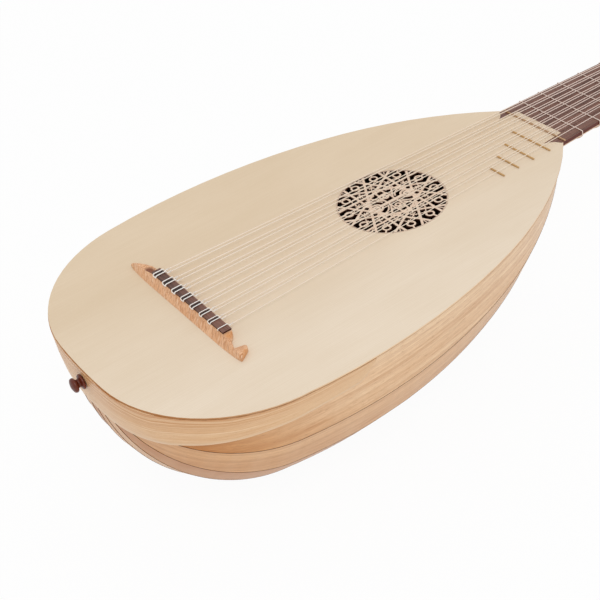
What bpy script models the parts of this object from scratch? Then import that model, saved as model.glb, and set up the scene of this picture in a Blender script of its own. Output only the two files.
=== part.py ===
"""Renaissance lute, eight courses, lying on its back.

Metres, +Z up. X runs across the instrument with the treble side at +X, Y runs from the tail to the neck,
and Z is 0 on the plane that the lute rests on. The origin is on the bottom facet of the centre rib.
The sizes below are in millimetres, in the frame of the soundboard: y is 0 where the strings' speaking
length starts at the bridge, and z is 0 on the soundboard's top.
"""
import math

import bmesh
import bpy
from mathutils import Vector
from mathutils.geometry import delaunay_2d_cdt

MM = 0.001
GAP = 0.3

# Speaking length and the frets' places
STRING_LENGTH = 600.0
TIED_FRETS = 7
JOINT_FRET = 8
BODY_FRETS = {8: (-38.5, 42.4), 9: (-6.4, 44.4), 10: (5.6, 44.4), 11: (15.4, 44.6), 12: (25.9, 45.0)}
BODY_FRET_WIDTH = 1.3
BODY_FRET_HEIGHT = 1.0
TIE_RADIUS = 0.45
TIE_ROOM = 0.35

# The neck starts just before its joint fret, and the body's own places count from the tail
JOINT_FRET_SETBACK = 2.4
NECK_START_Y = STRING_LENGTH * 2 ** (-JOINT_FRET / 12) - JOINT_FRET_SETBACK
BODY_LENGTH = 488.2
TAIL_Y = NECK_START_Y - BODY_LENGTH

# Soundboard outline: arcs from the middle of the tail, with the heading in degrees where each one ends
ARC_SHARES = (1.28998, 0.2548, 1.12023, 0.76655)
ARC_RADII = tuple(BODY_LENGTH * share for share in ARC_SHARES)
ARC_HEADINGS = (3.318, 83.159, 107.503, 134.158)
BOARD_THICKNESS = 1.7
ROSE_Y = TAIL_Y + 0.65342 * BODY_LENGTH
ROSE_RADIUS = 50.4
TONGUE_END_Y = NECK_START_Y + 10.4
TONGUE_HALF_END = 28.9
# The fingerboard's points: distances from the neck joint's corner, inwards and towards the tail
POINT_TIP = (11.5, 13.1)
POINT_EDGE = ((8.9, 8.2), (5.7, 4.7), (2.5, 2.8))
POINT_ROOT = (0.4, 1.5)

# Bowl
RIB_COUNT = 11
OUTER_RIB_DEG = 19.3
SECOND_RIB_DEG = 16.0
RIB_THICKNESS = 1.6
BOARD_OVERHANG = 1.2
# Depth as a share of the half width: a cubic along the body, which eases down towards the neck
DEPTH_SHAPE = (1.0879, 0.0639, -0.1264, -0.1481)
DEPTH_MIDDLE_Y = TAIL_Y + 0.49693 * BODY_LENGTH
DEPTH_SCALE = 0.51209 * BODY_LENGTH
DEPTH_EASE = 0.388
DEPTH_EASE_Y = TAIL_Y + 0.84514 * BODY_LENGTH
REST_FROM_Y = TAIL_Y + 0.38919 * BODY_LENGTH
REST_LENGTH = 32.0
REST_TO_Y = REST_FROM_Y + REST_LENGTH
RIB_END_HALF = 9.0
CLASP_THICKNESS = 1.4
CLASP_GAP = 0.45
# How far down the capping strip reaches at some places along the body, up to its pointed ends
CLASP_REACH = ((0.6, 38.5), (13.5, 36.8), (24.7, 33.5), (39.0, 31.5), (61.7, 28.2), (82.1, 25.4),
               (103.1, 23.8), (134.9, 21.2), (156.2, 19.8), (161.6, 19.0), (165.5, 16.8), (168.7, 14.2),
               (171.6, 9.6), (175.0, 6.2), (177.6, 3.4))
CLASP_OUTER = CLASP_REACH[7:]
CLASP_CENTRE_Y = TAIL_Y + 0.45596 * BODY_LENGTH
BAR_Y = TAIL_Y + 0.51741 * BODY_LENGTH
BAR_WIDTH = 5.0
BAR_HEIGHT = 14.0
BAR_END_HEIGHT = 4.0
BAR_CLEARANCE = 9.0
BAR_TAPER = 26.0
BLOCK_LENGTH = 37.0

# Neck and fingerboard
RIB_END_Y = NECK_START_Y - 2 * GAP
BLOCK_START_Y = RIB_END_Y - BLOCK_LENGTH
NECK_HALF_START = 42.3
NECK_HALF_NUT = 33.0
NECK_DEPTH_START = 20.0
NECK_DEPTH_NUT = 17.0
NECK_ROUNDING = 1.5
FINGERBOARD_THICKNESS = 3.5
NUT_THICKNESS = 5.0
NUT_TOP = 1.0
NUT_HEIGHT = 8.0

# Bridge
BRIDGE_FRONT_Y = -2.0
BRIDGE_HALF_BLOCK = 56.5
BRIDGE_HALF = 88.0
BRIDGE_TOP = 8.3
CAP_THICKNESS = 1.5
CAP_WIDTH = 8.5
BRIDGE_REAR_Y = -16.5

# End button
BUTTON_RADIUS = 7.2
BUTTON_LENGTH = 11.0
BUTTON_Z = -14.5

# Pegbox: tilted from the vertical, with the open side away from the neck
TILT = math.radians(10.0)
BOX_HALF_NUT = NECK_HALF_NUT
BOX_HALF_END = 20.0
CHEEK_THICKNESS = 4.0
BACK_THICKNESS = 4.0
END_BLOCK_LENGTH = 9.0
PEG_COUNT = 15
PEG_PITCHES = 17.40976
PEG_HEAD_HALF = 8.2
PEG_HEAD_LENGTH = 23.0

# Strings: x of each strand at the bridge and at the nut, course 8 (bass) first, course 1 single
STRANDS_BRIDGE = ((-51.9, -47.5), (-36.4, -31.3), (-21.4, -16.4), (-6.6, -2.3), (8.0, 12.3), (22.2, 26.0),
                  (35.5, 39.2), (50.4,))
NUT_SPREAD = BOX_HALF_NUT - CHEEK_THICKNESS - 1.4
NUT_PAIR = 2.7
STRING_RADII = (0.5, 0.48, 0.46, 0.44, 0.42, 0.4, 0.38, 0.36)
STRING_LOW_Z = 6.6

WOODS = {
    "spruce": ((0.77, 0.62, 0.45), 0.55),
    "rib": ((0.66, 0.42, 0.22), 0.45),
    "clasp": ((0.58, 0.34, 0.16), 0.45),
    "neck": ((0.68, 0.46, 0.27), 0.5),
    "ebony": ((0.10, 0.055, 0.04), 0.4),
    "pear": ((0.50, 0.26, 0.12), 0.5),
    "button": ((0.14, 0.03, 0.015), 0.35),
    "bone": ((0.85, 0.80, 0.70), 0.4),
    "nylon": ((0.80, 0.74, 0.66), 0.35),
}


# Shared helpers

def clear_scene():
    for ob in list(bpy.data.objects):
        bpy.data.objects.remove(ob, do_unlink=True)


def material(name, wood):
    colour, rough = WOODS[wood]
    mat = bpy.data.materials.new(name)
    mat.use_nodes = True
    shader = mat.node_tree.nodes["Principled BSDF"]
    shader.inputs["Base Color"].default_value = (*colour, 1.0)
    shader.inputs["Roughness"].default_value = rough
    mat.diffuse_color = (*colour, 1.0)
    return mat


def add(name, verts, faces, wood, origin=(0.0, 0.0, 0.0), smooth=False):
    """One named object with its own material. The points are in the soundboard's millimetres."""
    mesh = bpy.data.meshes.new(name)
    base = to_part(origin)
    mesh.from_pydata([to_part(v) - base for v in verts], [], faces)
    bm = bmesh.new()
    bm.from_mesh(mesh)
    bmesh.ops.recalc_face_normals(bm, faces=bm.faces)
    bm.to_mesh(mesh)
    bm.free()
    if smooth:
        mesh.shade_smooth()
    mesh.materials.append(material(name, wood))
    ob = bpy.data.objects.new(name, mesh)
    ob.location = base
    bpy.context.scene.collection.objects.link(ob)
    return ob


def inside(x, y, loops):
    """Even-odd test of a point against closed loops."""
    hit = False
    for loop in loops:
        for i, (ax, ay) in enumerate(loop):
            bx, by = loop[i - 1]
            if (ay > y) != (by > y) and x < (bx - ax) * (y - ay) / (by - ay) + ax:
                hit = not hit
    return hit


def triangles(loops, keep=None, lines=()):
    """Triangles between closed loops. keep(x, y) overrides the even-odd rule."""
    points = []
    edges = []
    for loop in loops:
        first = len(points)
        points.extend(loop)
        edges.extend((first + i, first + (i + 1) % len(loop)) for i in range(len(loop)))
    for line in lines:
        first = len(points)
        points.extend(line)
        edges.extend((first + i, first + i + 1) for i in range(len(line) - 1))
    out = delaunay_2d_cdt([Vector(p) for p in points], edges, [], 0, 1e-6)
    verts = [(v.x, v.y) for v in out[0]]
    faces = []
    for face in out[2]:
        cx = sum(verts[i][0] for i in face) / 3
        cy = sum(verts[i][1] for i in face) / 3
        if keep(cx, cy) if keep else inside(cx, cy, loops):
            faces.append(tuple(face))
    return verts, faces


def rim_edges(faces):
    """Directed edges that only one face uses."""
    seen = {(f[i], f[(i + 1) % len(f)]) for f in faces for i in range(len(f))}
    return [e for e in seen if (e[1], e[0]) not in seen]


def slab(verts, faces, low, high):
    """A closed solid between low(u, v) and high(u, v), which give points in space."""
    used = sorted({i for f in faces for i in f})
    index = {old: new for new, old in enumerate(used)}
    count = len(used)
    out = [low(*verts[i]) for i in used] + [high(*verts[i]) for i in used]
    solid = []
    for f in faces:
        solid.append(tuple(index[i] + count for i in f))
        solid.append(tuple(index[i] for i in reversed(f)))
    for a, b in sorted(rim_edges(faces)):
        a, b = index[a], index[b]
        solid.append((a, b, b + count))
        solid.append((a, b + count, a + count))
    return out, solid


def plate(name, loops, bottom, top, wood, lines=(), keep=None):
    """A level plate between two heights, each a number or a function of x and y."""
    low = bottom if callable(bottom) else lambda x, y: bottom
    high = top if callable(top) else lambda x, y: top
    verts, faces = triangles(loops, keep, lines)
    solid = slab(verts, faces, lambda x, y: (x, y, low(x, y)), lambda x, y: (x, y, high(x, y)))
    return add(name, *solid, wood)


def box(name, x0, x1, y0, y1, z0, z1, wood):
    return plate(name, [[(x0, y0), (x1, y0), (x1, y1), (x0, y1)]], z0, z1, wood)


def skin(rings, closed=False):
    """Faces of a tube through rings of points; the ends are filled unless the tube is closed."""
    n = len(rings[0])
    verts = [p for ring in rings for p in ring]
    faces = []
    last = len(rings) if closed else len(rings) - 1
    for k in range(last):
        a, b = k * n, ((k + 1) % len(rings)) * n
        for i in range(n):
            j = (i + 1) % n
            faces.append((a + i, a + j, b + j, b + i))
    if not closed:
        faces.append(tuple(reversed(range(n))))
        faces.append(tuple(len(verts) - n + i for i in range(n)))
    return verts, faces


def cord(points, radius, sides, closed=False):
    """A round cord with mitred bends."""
    pts = [Vector(p) for p in points]
    n = len(pts)
    rings = []
    normal = None
    for i, p in enumerate(pts):
        after = pts[(i + 1) % n] - p if closed or i < n - 1 else p - pts[i - 1]
        ahead = after.normalized()
        behind = (p - pts[i - 1]).normalized() if closed or i else ahead
        along = (ahead + behind).normalized()
        if normal is None:
            start = Vector((1, 0, 0)) if abs(behind.x) < 0.9 else Vector((0, 0, 1))
            normal = (start - behind * start.dot(behind)).normalized()
        else:
            normal = (normal - behind * normal.dot(behind)).normalized()
        side = behind.cross(normal)
        ring = []
        for k in range(sides):
            turn = 2 * math.pi * (k + 0.5) / sides
            offset = (normal * math.cos(turn) + side * math.sin(turn)) * radius
            ring.append(p + offset - behind * (offset.dot(along) / behind.dot(along)))
        rings.append(ring)
        normal = (normal - ahead * normal.dot(ahead)).normalized()
    return skin(rings, closed)


# The soundboard's outline and the bowl's surface

def arc_chain(inset):
    """Arcs of the outline moved inwards: centre, radius, and the headings where each starts and ends."""
    x, y, heading = 0.0, TAIL_Y + inset, 0.0
    arcs = []
    for radius, end in zip(ARC_RADII, ARC_HEADINGS):
        r = radius - inset
        end = math.radians(end)
        cx, cy = x - r * math.sin(heading), y + r * math.cos(heading)
        arcs.append((cx, cy, r, heading, end))
        x, y, heading = cx + r * math.sin(end), cy - r * math.cos(end), end
    return arcs


def half_width(y, arcs):
    for cx, cy, r, start, end in arcs:
        if y <= cy - r * math.cos(end) or end == arcs[-1][4]:
            return max(cx + math.sqrt(max(r * r - (y - cy) ** 2, 0.0)), 0.0)


def arc_points(arcs, steps):
    """Points (half width, y) along the arcs, with a number of steps for each arc."""
    out = [(0.0, arcs[0][1] - arcs[0][2])]
    for (cx, cy, r, start, end), count in zip(arcs, steps):
        for i in range(1, count + 1):
            h = start + (end - start) * i / count
            out.append((cx + r * math.sin(h), cy - r * math.cos(h)))
    return out


BOARD_ARCS = arc_chain(0.0)
BOWL_ARCS = arc_chain(BOARD_OVERHANG)


def depth_ratio(y):
    a, b, c, d = DEPTH_SHAPE
    s = (y - DEPTH_MIDDLE_Y) / DEPTH_SCALE
    t = max((y - DEPTH_EASE_Y) / (NECK_START_Y - DEPTH_EASE_Y), 0.0)
    return a + b * s + c * s * s + d * s ** 3 - DEPTH_EASE * t ** 3


def free_depth(y):
    return depth_ratio(y) * half_width(y, BOWL_ARCS)


FLAT_DEPTH = min(free_depth(REST_FROM_Y), free_depth(REST_TO_Y))


def bowl_depth(y):
    return min(free_depth(y), FLAT_DEPTH)


def rib_lines():
    """Angles of the lines between the ribs, from the treble edge down and round to the bass edge."""
    rest = (180.0 - 2 * (OUTER_RIB_DEG + SECOND_RIB_DEG)) / (RIB_COUNT - 4)
    out = [0.0, OUTER_RIB_DEG, OUTER_RIB_DEG + SECOND_RIB_DEG]
    for _ in range(RIB_COUNT - 4):
        out.append(out[-1] + rest)
    out += [180.0 - OUTER_RIB_DEG, 180.0]
    return [math.radians(a) for a in out]


RIB_LINES = rib_lines()
MIDDLE_LINE = RIB_LINES[RIB_COUNT // 2]
BOWL_HEIGHT = FLAT_DEPTH * math.sin(MIDDLE_LINE)
ORIGIN_Y = (REST_FROM_Y + REST_TO_Y) / 2


def to_part(p):
    """From the soundboard's millimetres to the part's metres."""
    return Vector((p[0], p[1] - ORIGIN_Y, p[2] + BOWL_HEIGHT)) * MM


def bowl_point(y, angle, half=None):
    w = half_width(y, BOWL_ARCS) if half is None else half
    return Vector((w * math.cos(angle), y, -bowl_depth(y) * math.sin(angle)))


def facet_ratio(angle):
    """How far the flat ribs lie inside the round section at an angle."""
    for a, b in zip(RIB_LINES, RIB_LINES[1:]):
        if angle <= b + 1e-9:
            return math.cos((b - a) / 2) / math.cos(angle - (a + b) / 2)
    return 1.0


def stations():
    """Places along the bowl where its ribs have a cross-section."""
    pts = [y for w, y in arc_points(BOWL_ARCS, (3, 9, 5, 7)) if w > RIB_END_HALF and y < RIB_END_Y - 6]
    pts = [y for y in pts if min(abs(y - REST_FROM_Y), abs(y - REST_TO_Y)) > 8]
    pts += [REST_FROM_Y, REST_TO_Y, RIB_END_Y]
    cx, cy, r = BOWL_ARCS[0][:3]
    pts.append(cy - math.sqrt(r * r - (RIB_END_HALF - cx) ** 2))
    return sorted(pts)


# Pieces

def from_corner(step):
    """A place near the neck joint's treble corner."""
    return NECK_HALF_START - step[0], NECK_START_Y - step[1]


def make_soundboard():
    right = arc_points(BOARD_ARCS, (3, 16, 9, 8))
    right[-1] = (NECK_HALF_START + GAP, NECK_START_Y - GAP)
    tip_x, tip_y = from_corner(POINT_TIP)
    edge = right + [from_corner((POINT_ROOT[0] - GAP, POINT_ROOT[1] + GAP))]
    edge += [from_corner((x, y + GAP)) for x, y in reversed(POINT_EDGE)]
    edge += [(tip_x + 0.1, tip_y - GAP * 1.5), (tip_x - GAP, tip_y - GAP)]
    edge += [(TONGUE_HALF_END, TONGUE_END_Y)]
    loop = edge + [(-x, y) for x, y in reversed(edge) if x > 0]
    hole = [(ROSE_RADIUS * math.sin(a), ROSE_Y + ROSE_RADIUS * math.cos(a))
            for a in (2 * math.pi * i / 48 for i in range(48))]
    plate("soundboard", [loop, hole], -BOARD_THICKNESS, 0.0, "spruce")


def make_rose():
    """A pierced disc: twelve straps across, twelve rings near the rim and a ring round the middle."""
    outer = (ROSE_RADIUS - GAP) * math.cos(math.pi / 48)
    rim = ROSE_RADIUS - 2.8
    strap_at, strap_half = 20.3, 1.25
    ring_at, ring_out, ring_in = 41.4, 4.9, 2.7
    bar_half, bar_from = 1.0, 27.8
    mid_out, mid_in = 11.4, 9.2
    spoke_half = 1.05
    turns = [2 * math.pi * i / 12 for i in range(12)]

    def circle(x, y, r, count):
        steps = [2 * math.pi * i / count for i in range(count)]
        return [(x + r * math.sin(t), y + r * math.cos(t)) for t in steps]

    def in_circle(x, y, cx, cy, r, count):
        turn = math.atan2(x - cx, y - cy) % (2 * math.pi / count) - math.pi / count
        return math.hypot(x - cx, y - cy) * math.cos(turn) < r * math.cos(math.pi / count)

    centres = [(ring_at * math.sin(t + math.pi / 12), ring_at * math.cos(t + math.pi / 12)) for t in turns]
    loops = [circle(0, 0, outer, 48), circle(0, 0, rim, 36)]
    loops += [circle(0, 0, mid_out, 24), circle(0, 0, mid_in, 24)]
    lines = []
    for t, (cx, cy) in zip(turns, centres):
        s, c = math.sin(t), math.cos(t)
        for d in (strap_at - strap_half, strap_at + strap_half):
            h = math.sqrt((rim + 0.6) ** 2 - d * d)
            lines.append([(d * s - h * c, d * c + h * s), (d * s + h * c, d * c - h * s)])
        loops.append(circle(cx, cy, ring_out, 12))
        loops.append(circle(cx, cy, ring_in, 8))
        s, c = math.sin(t + math.pi / 12), math.cos(t + math.pi / 12)
        for e in (-bar_half, bar_half):
            lines.append([(r * s + e * c, r * c - e * s) for r in (bar_from, rim + 0.6)])
    for t in turns[::2]:
        s, c = math.sin(t), math.cos(t)
        for e in (-spoke_half, spoke_half):
            lines.append([(e * c, -e * s), (20.0 * s + e * c, 20.0 * c - e * s)])

    def solid(x, y):
        r = math.hypot(x, y)
        if not in_circle(x, y, 0, 0, outer, 48):
            return False
        if not in_circle(x, y, 0, 0, rim, 36):
            return True
        if in_circle(x, y, 0, 0, mid_out, 24) and not in_circle(x, y, 0, 0, mid_in, 24):
            return True
        for t, (cx, cy) in zip(turns, centres):
            if in_circle(x, y, cx, cy, ring_out, 12):
                return not in_circle(x, y, cx, cy, ring_in, 8)
        for t in turns:
            s, c = math.sin(t), math.cos(t)
            if abs(x * s + y * c - strap_at) < strap_half:
                return True
            s, c = math.sin(t + math.pi / 12), math.cos(t + math.pi / 12)
            if abs(x * c - y * s) < bar_half and x * s + y * c > bar_from:
                return True
        for t in turns[::2]:
            s, c = math.sin(t), math.cos(t)
            if abs(x * c - y * s) < spoke_half and 0 < x * s + y * c < 20.0:
                return True
        return r < 1.0

    verts, faces = triangles(loops, solid, lines)
    rim_lines = [[verts[a], verts[b]] for a, b in sorted(rim_edges(faces))]
    verts, faces = triangles([], solid, rim_lines)
    add("rose", *slab(verts, faces, lambda x, y: (x, y + ROSE_Y, -BOARD_THICKNESS),
                      lambda x, y: (x, y + ROSE_Y, 0.0)), "spruce")


def make_ribs():
    places = stations()
    for number in range(RIB_COUNT):
        a, b = RIB_LINES[number], RIB_LINES[number + 1]
        sections = []
        for k, y in enumerate(places):
            p, q = bowl_point(y, a), bowl_point(y, b)
            along = bowl_point(places[min(k + 1, len(places) - 1)], (a + b) / 2)
            along = along - bowl_point(places[max(k - 1, 0)], (a + b) / 2)
            across = (q - p).normalized()
            inward = across.cross(along).normalized()
            if inward.dot(Vector((0, ORIGIN_Y, 0)) - (p + q) / 2) < 0:
                inward = -inward
            mitre = RIB_THICKNESS * math.tan((b - a) / 2) + 0.02
            start = GAP / 2
            if number == 0:
                p = p + across * ((BOARD_THICKNESS + GAP) / max(abs(across.z), 0.2))
                start = 0.0
            if number == RIB_COUNT - 1:
                q = q - across * ((BOARD_THICKNESS + GAP) / max(abs(across.z), 0.2))
            end = 0.0 if number == RIB_COUNT - 1 else GAP / 2
            in_start = start + (0.0 if number == 0 else mitre)
            in_end = end + (0.0 if number == RIB_COUNT - 1 else mitre)
            sections.append([p + across * start, q - across * end,
                             q - across * in_end + inward * RIB_THICKNESS,
                             p + across * in_start + inward * RIB_THICKNESS])
        # The outer ribs' upper edges stay level under the soundboard
        for ring in sections:
            if number == 0:
                ring[0].z = ring[3].z = -(BOARD_THICKNESS + GAP)
            if number == RIB_COUNT - 1:
                ring[1].z = ring[2].z = -(BOARD_THICKNESS + GAP)
        add("rib_%02d" % (number + 1), *skin(sections), "rib")


def surface_radius(turn, z, centre_y, offset):
    """Distance from (0, centre_y) to the flat ribs at a height, in the direction turn from the tail."""
    low, high = 0.0, 260.0
    for _ in range(50):
        r = (low + high) / 2
        x, y = r * math.sin(turn), centre_y - r * math.cos(turn)
        if y <= TAIL_Y + BOARD_OVERHANG:
            high = r
            continue
        w, deep = half_width(y, BOWL_ARCS), bowl_depth(y)
        angle = math.atan2(-z / deep, abs(x) / w)
        if math.hypot(x / w, z / deep) < facet_ratio(angle):
            low = r
        else:
            high = r
    return low + offset


def reach(y, table):
    """The second value of a table at y, in straight lines between its places."""
    if y <= table[0][0]:
        return table[0][1]
    for (a, u), (b, v) in zip(table, table[1:]):
        if y <= b:
            return u + (v - u) * (y - a) / (b - a)
    return table[-1][1]


def make_clasp():
    """The strip over the ribs' ends, deepest at the tail and running out to a point on each side."""
    outer_turns = [math.atan2(half_width(TAIL_Y + t, BOWL_ARCS), CLASP_CENTRE_Y - TAIL_Y - t)
                   for t, _ in CLASP_OUTER]
    count = 38
    turns = [outer_turns[0] * (2.0 * i / count - 1.0) for i in range(1, count)]
    turns = [-t for t in reversed(outer_turns)] + turns + outer_turns
    inner = CLASP_GAP
    rows = 4
    rings = []
    for turn in turns:
        r = surface_radius(turn, -(BOARD_THICKNESS + GAP), CLASP_CENTRE_Y, 0.0)
        y = CLASP_CENTRE_Y - r * math.cos(turn)
        low = -reach(y - TAIL_Y, CLASP_REACH)
        top = -(BOARD_THICKNESS + GAP)
        ring = []
        for j in range(rows + 1):
            z = top + (low - top) * j / rows
            r = surface_radius(turn, z, CLASP_CENTRE_Y, inner + CLASP_THICKNESS)
            ring.append((r * math.sin(turn), CLASP_CENTRE_Y - r * math.cos(turn), z))
        for j in range(rows, -1, -1):
            z = top + (low - top) * j / rows
            r = surface_radius(turn, z, CLASP_CENTRE_Y, inner)
            ring.append((r * math.sin(turn), CLASP_CENTRE_Y - r * math.cos(turn), z))
        rings.append(ring)
    add("capping_strip", *skin(rings), "clasp")


def make_neck_block():
    top = -(BOARD_THICKNESS + GAP)
    rings = []
    for y, extra in ((BLOCK_START_Y, 2.6), ((BLOCK_START_Y + RIB_END_Y) / 2, 2.2), (RIB_END_Y, 1.6)):
        inset = RIB_THICKNESS + GAP + extra
        w, deep = half_width(y, BOWL_ARCS) - inset, bowl_depth(y) - inset
        start = math.asin(-top / deep)
        edge = w * math.cos(start) * facet_ratio(start)
        ring = [(w * math.cos(a), y, -deep * math.sin(a)) for a in RIB_LINES[1:-1]]
        rings.append([(edge, y, top)] + ring + [(-edge, y, top)])
    add("neck_block", *skin(rings), "neck")


def make_bar():
    top = -(BOARD_THICKNESS + GAP)
    half = half_width(BAR_Y, BOWL_ARCS) - BAR_CLEARANCE
    low = top - BAR_HEIGHT
    end = top - BAR_END_HEIGHT
    loop = [(-half, top), (-half, end), (-half + BAR_TAPER, low)]
    loop += [(-x, z) for x, z in reversed(loop)]
    verts, faces = triangles([loop])
    add("soundboard_bar", *slab(verts, faces, lambda x, z: (x, BAR_Y - BAR_WIDTH / 2, z),
                                lambda x, z: (x, BAR_Y + BAR_WIDTH / 2, z)), "spruce")


def neck_half(y):
    t = (y - NECK_START_Y) / (STRING_LENGTH - NECK_START_Y)
    return NECK_HALF_START + (NECK_HALF_NUT - NECK_HALF_START) * t


def neck_depth(y):
    t = (y - NECK_START_Y) / (STRING_LENGTH - NECK_START_Y)
    return NECK_DEPTH_START + (NECK_DEPTH_NUT - NECK_DEPTH_START) * t


def neck_edge(y, turn, room=0.0):
    """A point (x, z) of the neck's section below the fingerboard, moved outwards by some room."""
    top = FINGERBOARD_THICKNESS + GAP
    power = 2 / NECK_ROUNDING
    x = (neck_half(y) + room) * math.copysign(abs(math.cos(turn)) ** power, math.cos(turn))
    return x, -top - (neck_depth(y) - top + room) * math.sin(turn) ** power


def make_neck():
    rings = []
    for share in (0.0, 0.25, 0.5, 0.75, 1.0):
        y = NECK_START_Y + (STRING_LENGTH - GAP - NECK_START_Y) * share
        ring = []
        for i in range(19):
            x, z = neck_edge(y, math.pi * i / 18)
            end = y - z * math.tan(TILT) if share == 1.0 else y
            ring.append((x, end, z))
        rings.append(ring)
    add("neck", *skin(rings), "neck", smooth=True)


def make_fingerboard():
    end = STRING_LENGTH - GAP
    step = NECK_START_Y + 0.2
    tip = from_corner(POINT_TIP)
    slope = (tip[0] - TONGUE_HALF_END) / (tip[1] - TONGUE_END_Y)

    def inner(y):
        return TONGUE_HALF_END + GAP + (y - TONGUE_END_Y) * slope

    right = [(inner(TONGUE_END_Y + GAP), TONGUE_END_Y + GAP), (inner(step), step),
             (inner(step - 0.5), step - 0.5), (tip[0] + 0.15, tip[1]),
             *(from_corner(place) for place in POINT_EDGE), from_corner(POINT_ROOT),
             (NECK_HALF_START, step - 0.5), (NECK_HALF_START, step), (neck_half(end), end)]
    loop = right + [(-x, y) for x, y in reversed(right)]
    lines = []
    for side in (-1, 1):
        lines.append([(side * inner(step), step), (side * NECK_HALF_START, step)])
        lines.append([(side * inner(step - 0.5), step - 0.5), (side * NECK_HALF_START, step - 0.5)])

    def bottom(x, y):
        return -FINGERBOARD_THICKNESS if y > step - 0.01 else -BOARD_THICKNESS

    plate("fingerboard", [loop], bottom, 0.0, "ebony", lines)


def make_nut():
    lean = math.tan(TILT)
    low = NUT_TOP - NUT_HEIGHT
    y = STRING_LENGTH
    loop = [(y, NUT_TOP - 0.6), (y + 0.6, NUT_TOP), (y + NUT_THICKNESS - 1.4, NUT_TOP),
            (y + NUT_THICKNESS - 0.4, NUT_TOP - 0.6), (y + NUT_THICKNESS, NUT_TOP - 1.6),
            (y + NUT_THICKNESS - low * lean, low), (y - low * lean, low), (y, 0.0)]
    verts, faces = triangles([loop])
    half = NECK_HALF_NUT - 0.2
    add("nut", *slab(verts, faces, lambda y, z: (-half, y, z), lambda y, z: (half, y, z)), "bone")


def box_point(d, n, x=0.0):
    """A point of the pegbox: d down its length from the nut, n out of its open side."""
    return (x, STRING_LENGTH + NUT_THICKNESS + d * math.sin(TILT) + n * math.cos(TILT),
            -d * math.cos(TILT) + n * math.sin(TILT))


def box_level(n, z):
    """The point of the line n at the height z."""
    d = (n * math.sin(TILT) - z) / math.cos(TILT)
    return box_point(d, n)[1:]


def box_d(y, z):
    return (y - STRING_LENGTH - NUT_THICKNESS) * math.sin(TILT) - z * math.cos(TILT)


BOX_LENGTH = BOWL_HEIGHT / math.cos(TILT)
BOX_BACK = -(NUT_THICKNESS - GAP)

# The pegbox is so many peg pitches long, and its section and pegs follow the pitch
PEG_PITCH = BOX_LENGTH / PEG_PITCHES
PEG_FIRST = 1.79348 * PEG_PITCH
PEG_RADIUS_HEAD = 0.402 * PEG_PITCH
PEG_RADIUS_TIP = 0.337 * PEG_PITCH
PEG_LEVEL = 1.3696 * PEG_PITCH
CHEEK_WIDTH_NUT = 3.15 * PEG_PITCH
CHEEK_WIDTH_END = 2.66 * PEG_PITCH
CHEEK_STEP = (0.87 * PEG_PITCH, 0.174 * PEG_PITCH)
CHEEK_STEP_D = (1.522 * PEG_PITCH, 2.609 * PEG_PITCH)


def box_half(d):
    return BOX_HALF_NUT + (BOX_HALF_END - BOX_HALF_NUT) * d / BOX_LENGTH


def cheek_front(d):
    return BOX_BACK + CHEEK_WIDTH_NUT + (CHEEK_WIDTH_END - CHEEK_WIDTH_NUT) * d / BOX_LENGTH


def peg_place(i):
    return PEG_FIRST + PEG_PITCH * i


def peg_side(i):
    return -1 if i % 2 == 0 else 1


def peg_radius(i, x):
    """The shaft's radius at x: it narrows from the head's cheek to the other one."""
    half = box_half(peg_place(i))
    t = (x * peg_side(i) + half) / (2 * half)
    return PEG_RADIUS_TIP + (PEG_RADIUS_HEAD - PEG_RADIUS_TIP) * min(max(t, 0.0), 1.0)


def make_cheeks():
    top = NUT_TOP - NUT_HEIGHT - GAP
    front_top = box_level(cheek_front(0.0) - CHEEK_STEP[0], top)
    near, far = CHEEK_STEP_D
    loop = [box_level(BOX_BACK, top), box_level(BOX_BACK, -BOWL_HEIGHT),
            box_level(cheek_front(BOX_LENGTH), -BOWL_HEIGHT), box_point(far, cheek_front(far))[1:],
            box_point(near, cheek_front(near) - CHEEK_STEP[1])[1:], front_top]
    for side, name in ((-1, "pegbox_cheek_bass"), (1, "pegbox_cheek_treble")):
        loops = [loop]
        for i in range(PEG_COUNT):
            d = peg_place(i)
            r = (peg_radius(i, side * box_half(d)) + GAP) / math.cos(math.pi / 10)
            _, y, z = box_point(d, PEG_LEVEL)
            loops.append([(y + r * math.sin(2 * math.pi * k / 10), z + r * math.cos(2 * math.pi * k / 10))
                          for k in range(10)])
        verts, faces = triangles(loops)
        add(name, *slab(verts, faces, lambda y, z: (side * (box_half(box_d(y, z)) - CHEEK_THICKNESS), y, z),
                        lambda y, z: (side * box_half(box_d(y, z)), y, z)), "neck")


def make_box_back():
    """The pegbox's back board with the solid end block."""
    top = NUT_TOP - NUT_HEIGHT - GAP
    inner = BOX_BACK + BACK_THICKNESS
    block = BOX_LENGTH - END_BLOCK_LENGTH
    loop = [box_level(BOX_BACK, top), box_level(BOX_BACK, -BOWL_HEIGHT),
            box_level(cheek_front(BOX_LENGTH) - 1.0, -BOWL_HEIGHT),
            box_point(block, cheek_front(block) - 1.0)[1:], box_point(block, inner)[1:],
            box_level(inner, top)]
    verts, faces = triangles([loop])

    def half(y, z):
        return box_half(box_d(y, z)) - CHEEK_THICKNESS - GAP

    add("pegbox_back", *slab(verts, faces, lambda y, z: (-half(y, z), y, z),
                             lambda y, z: (half(y, z), y, z)), "neck")


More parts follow.
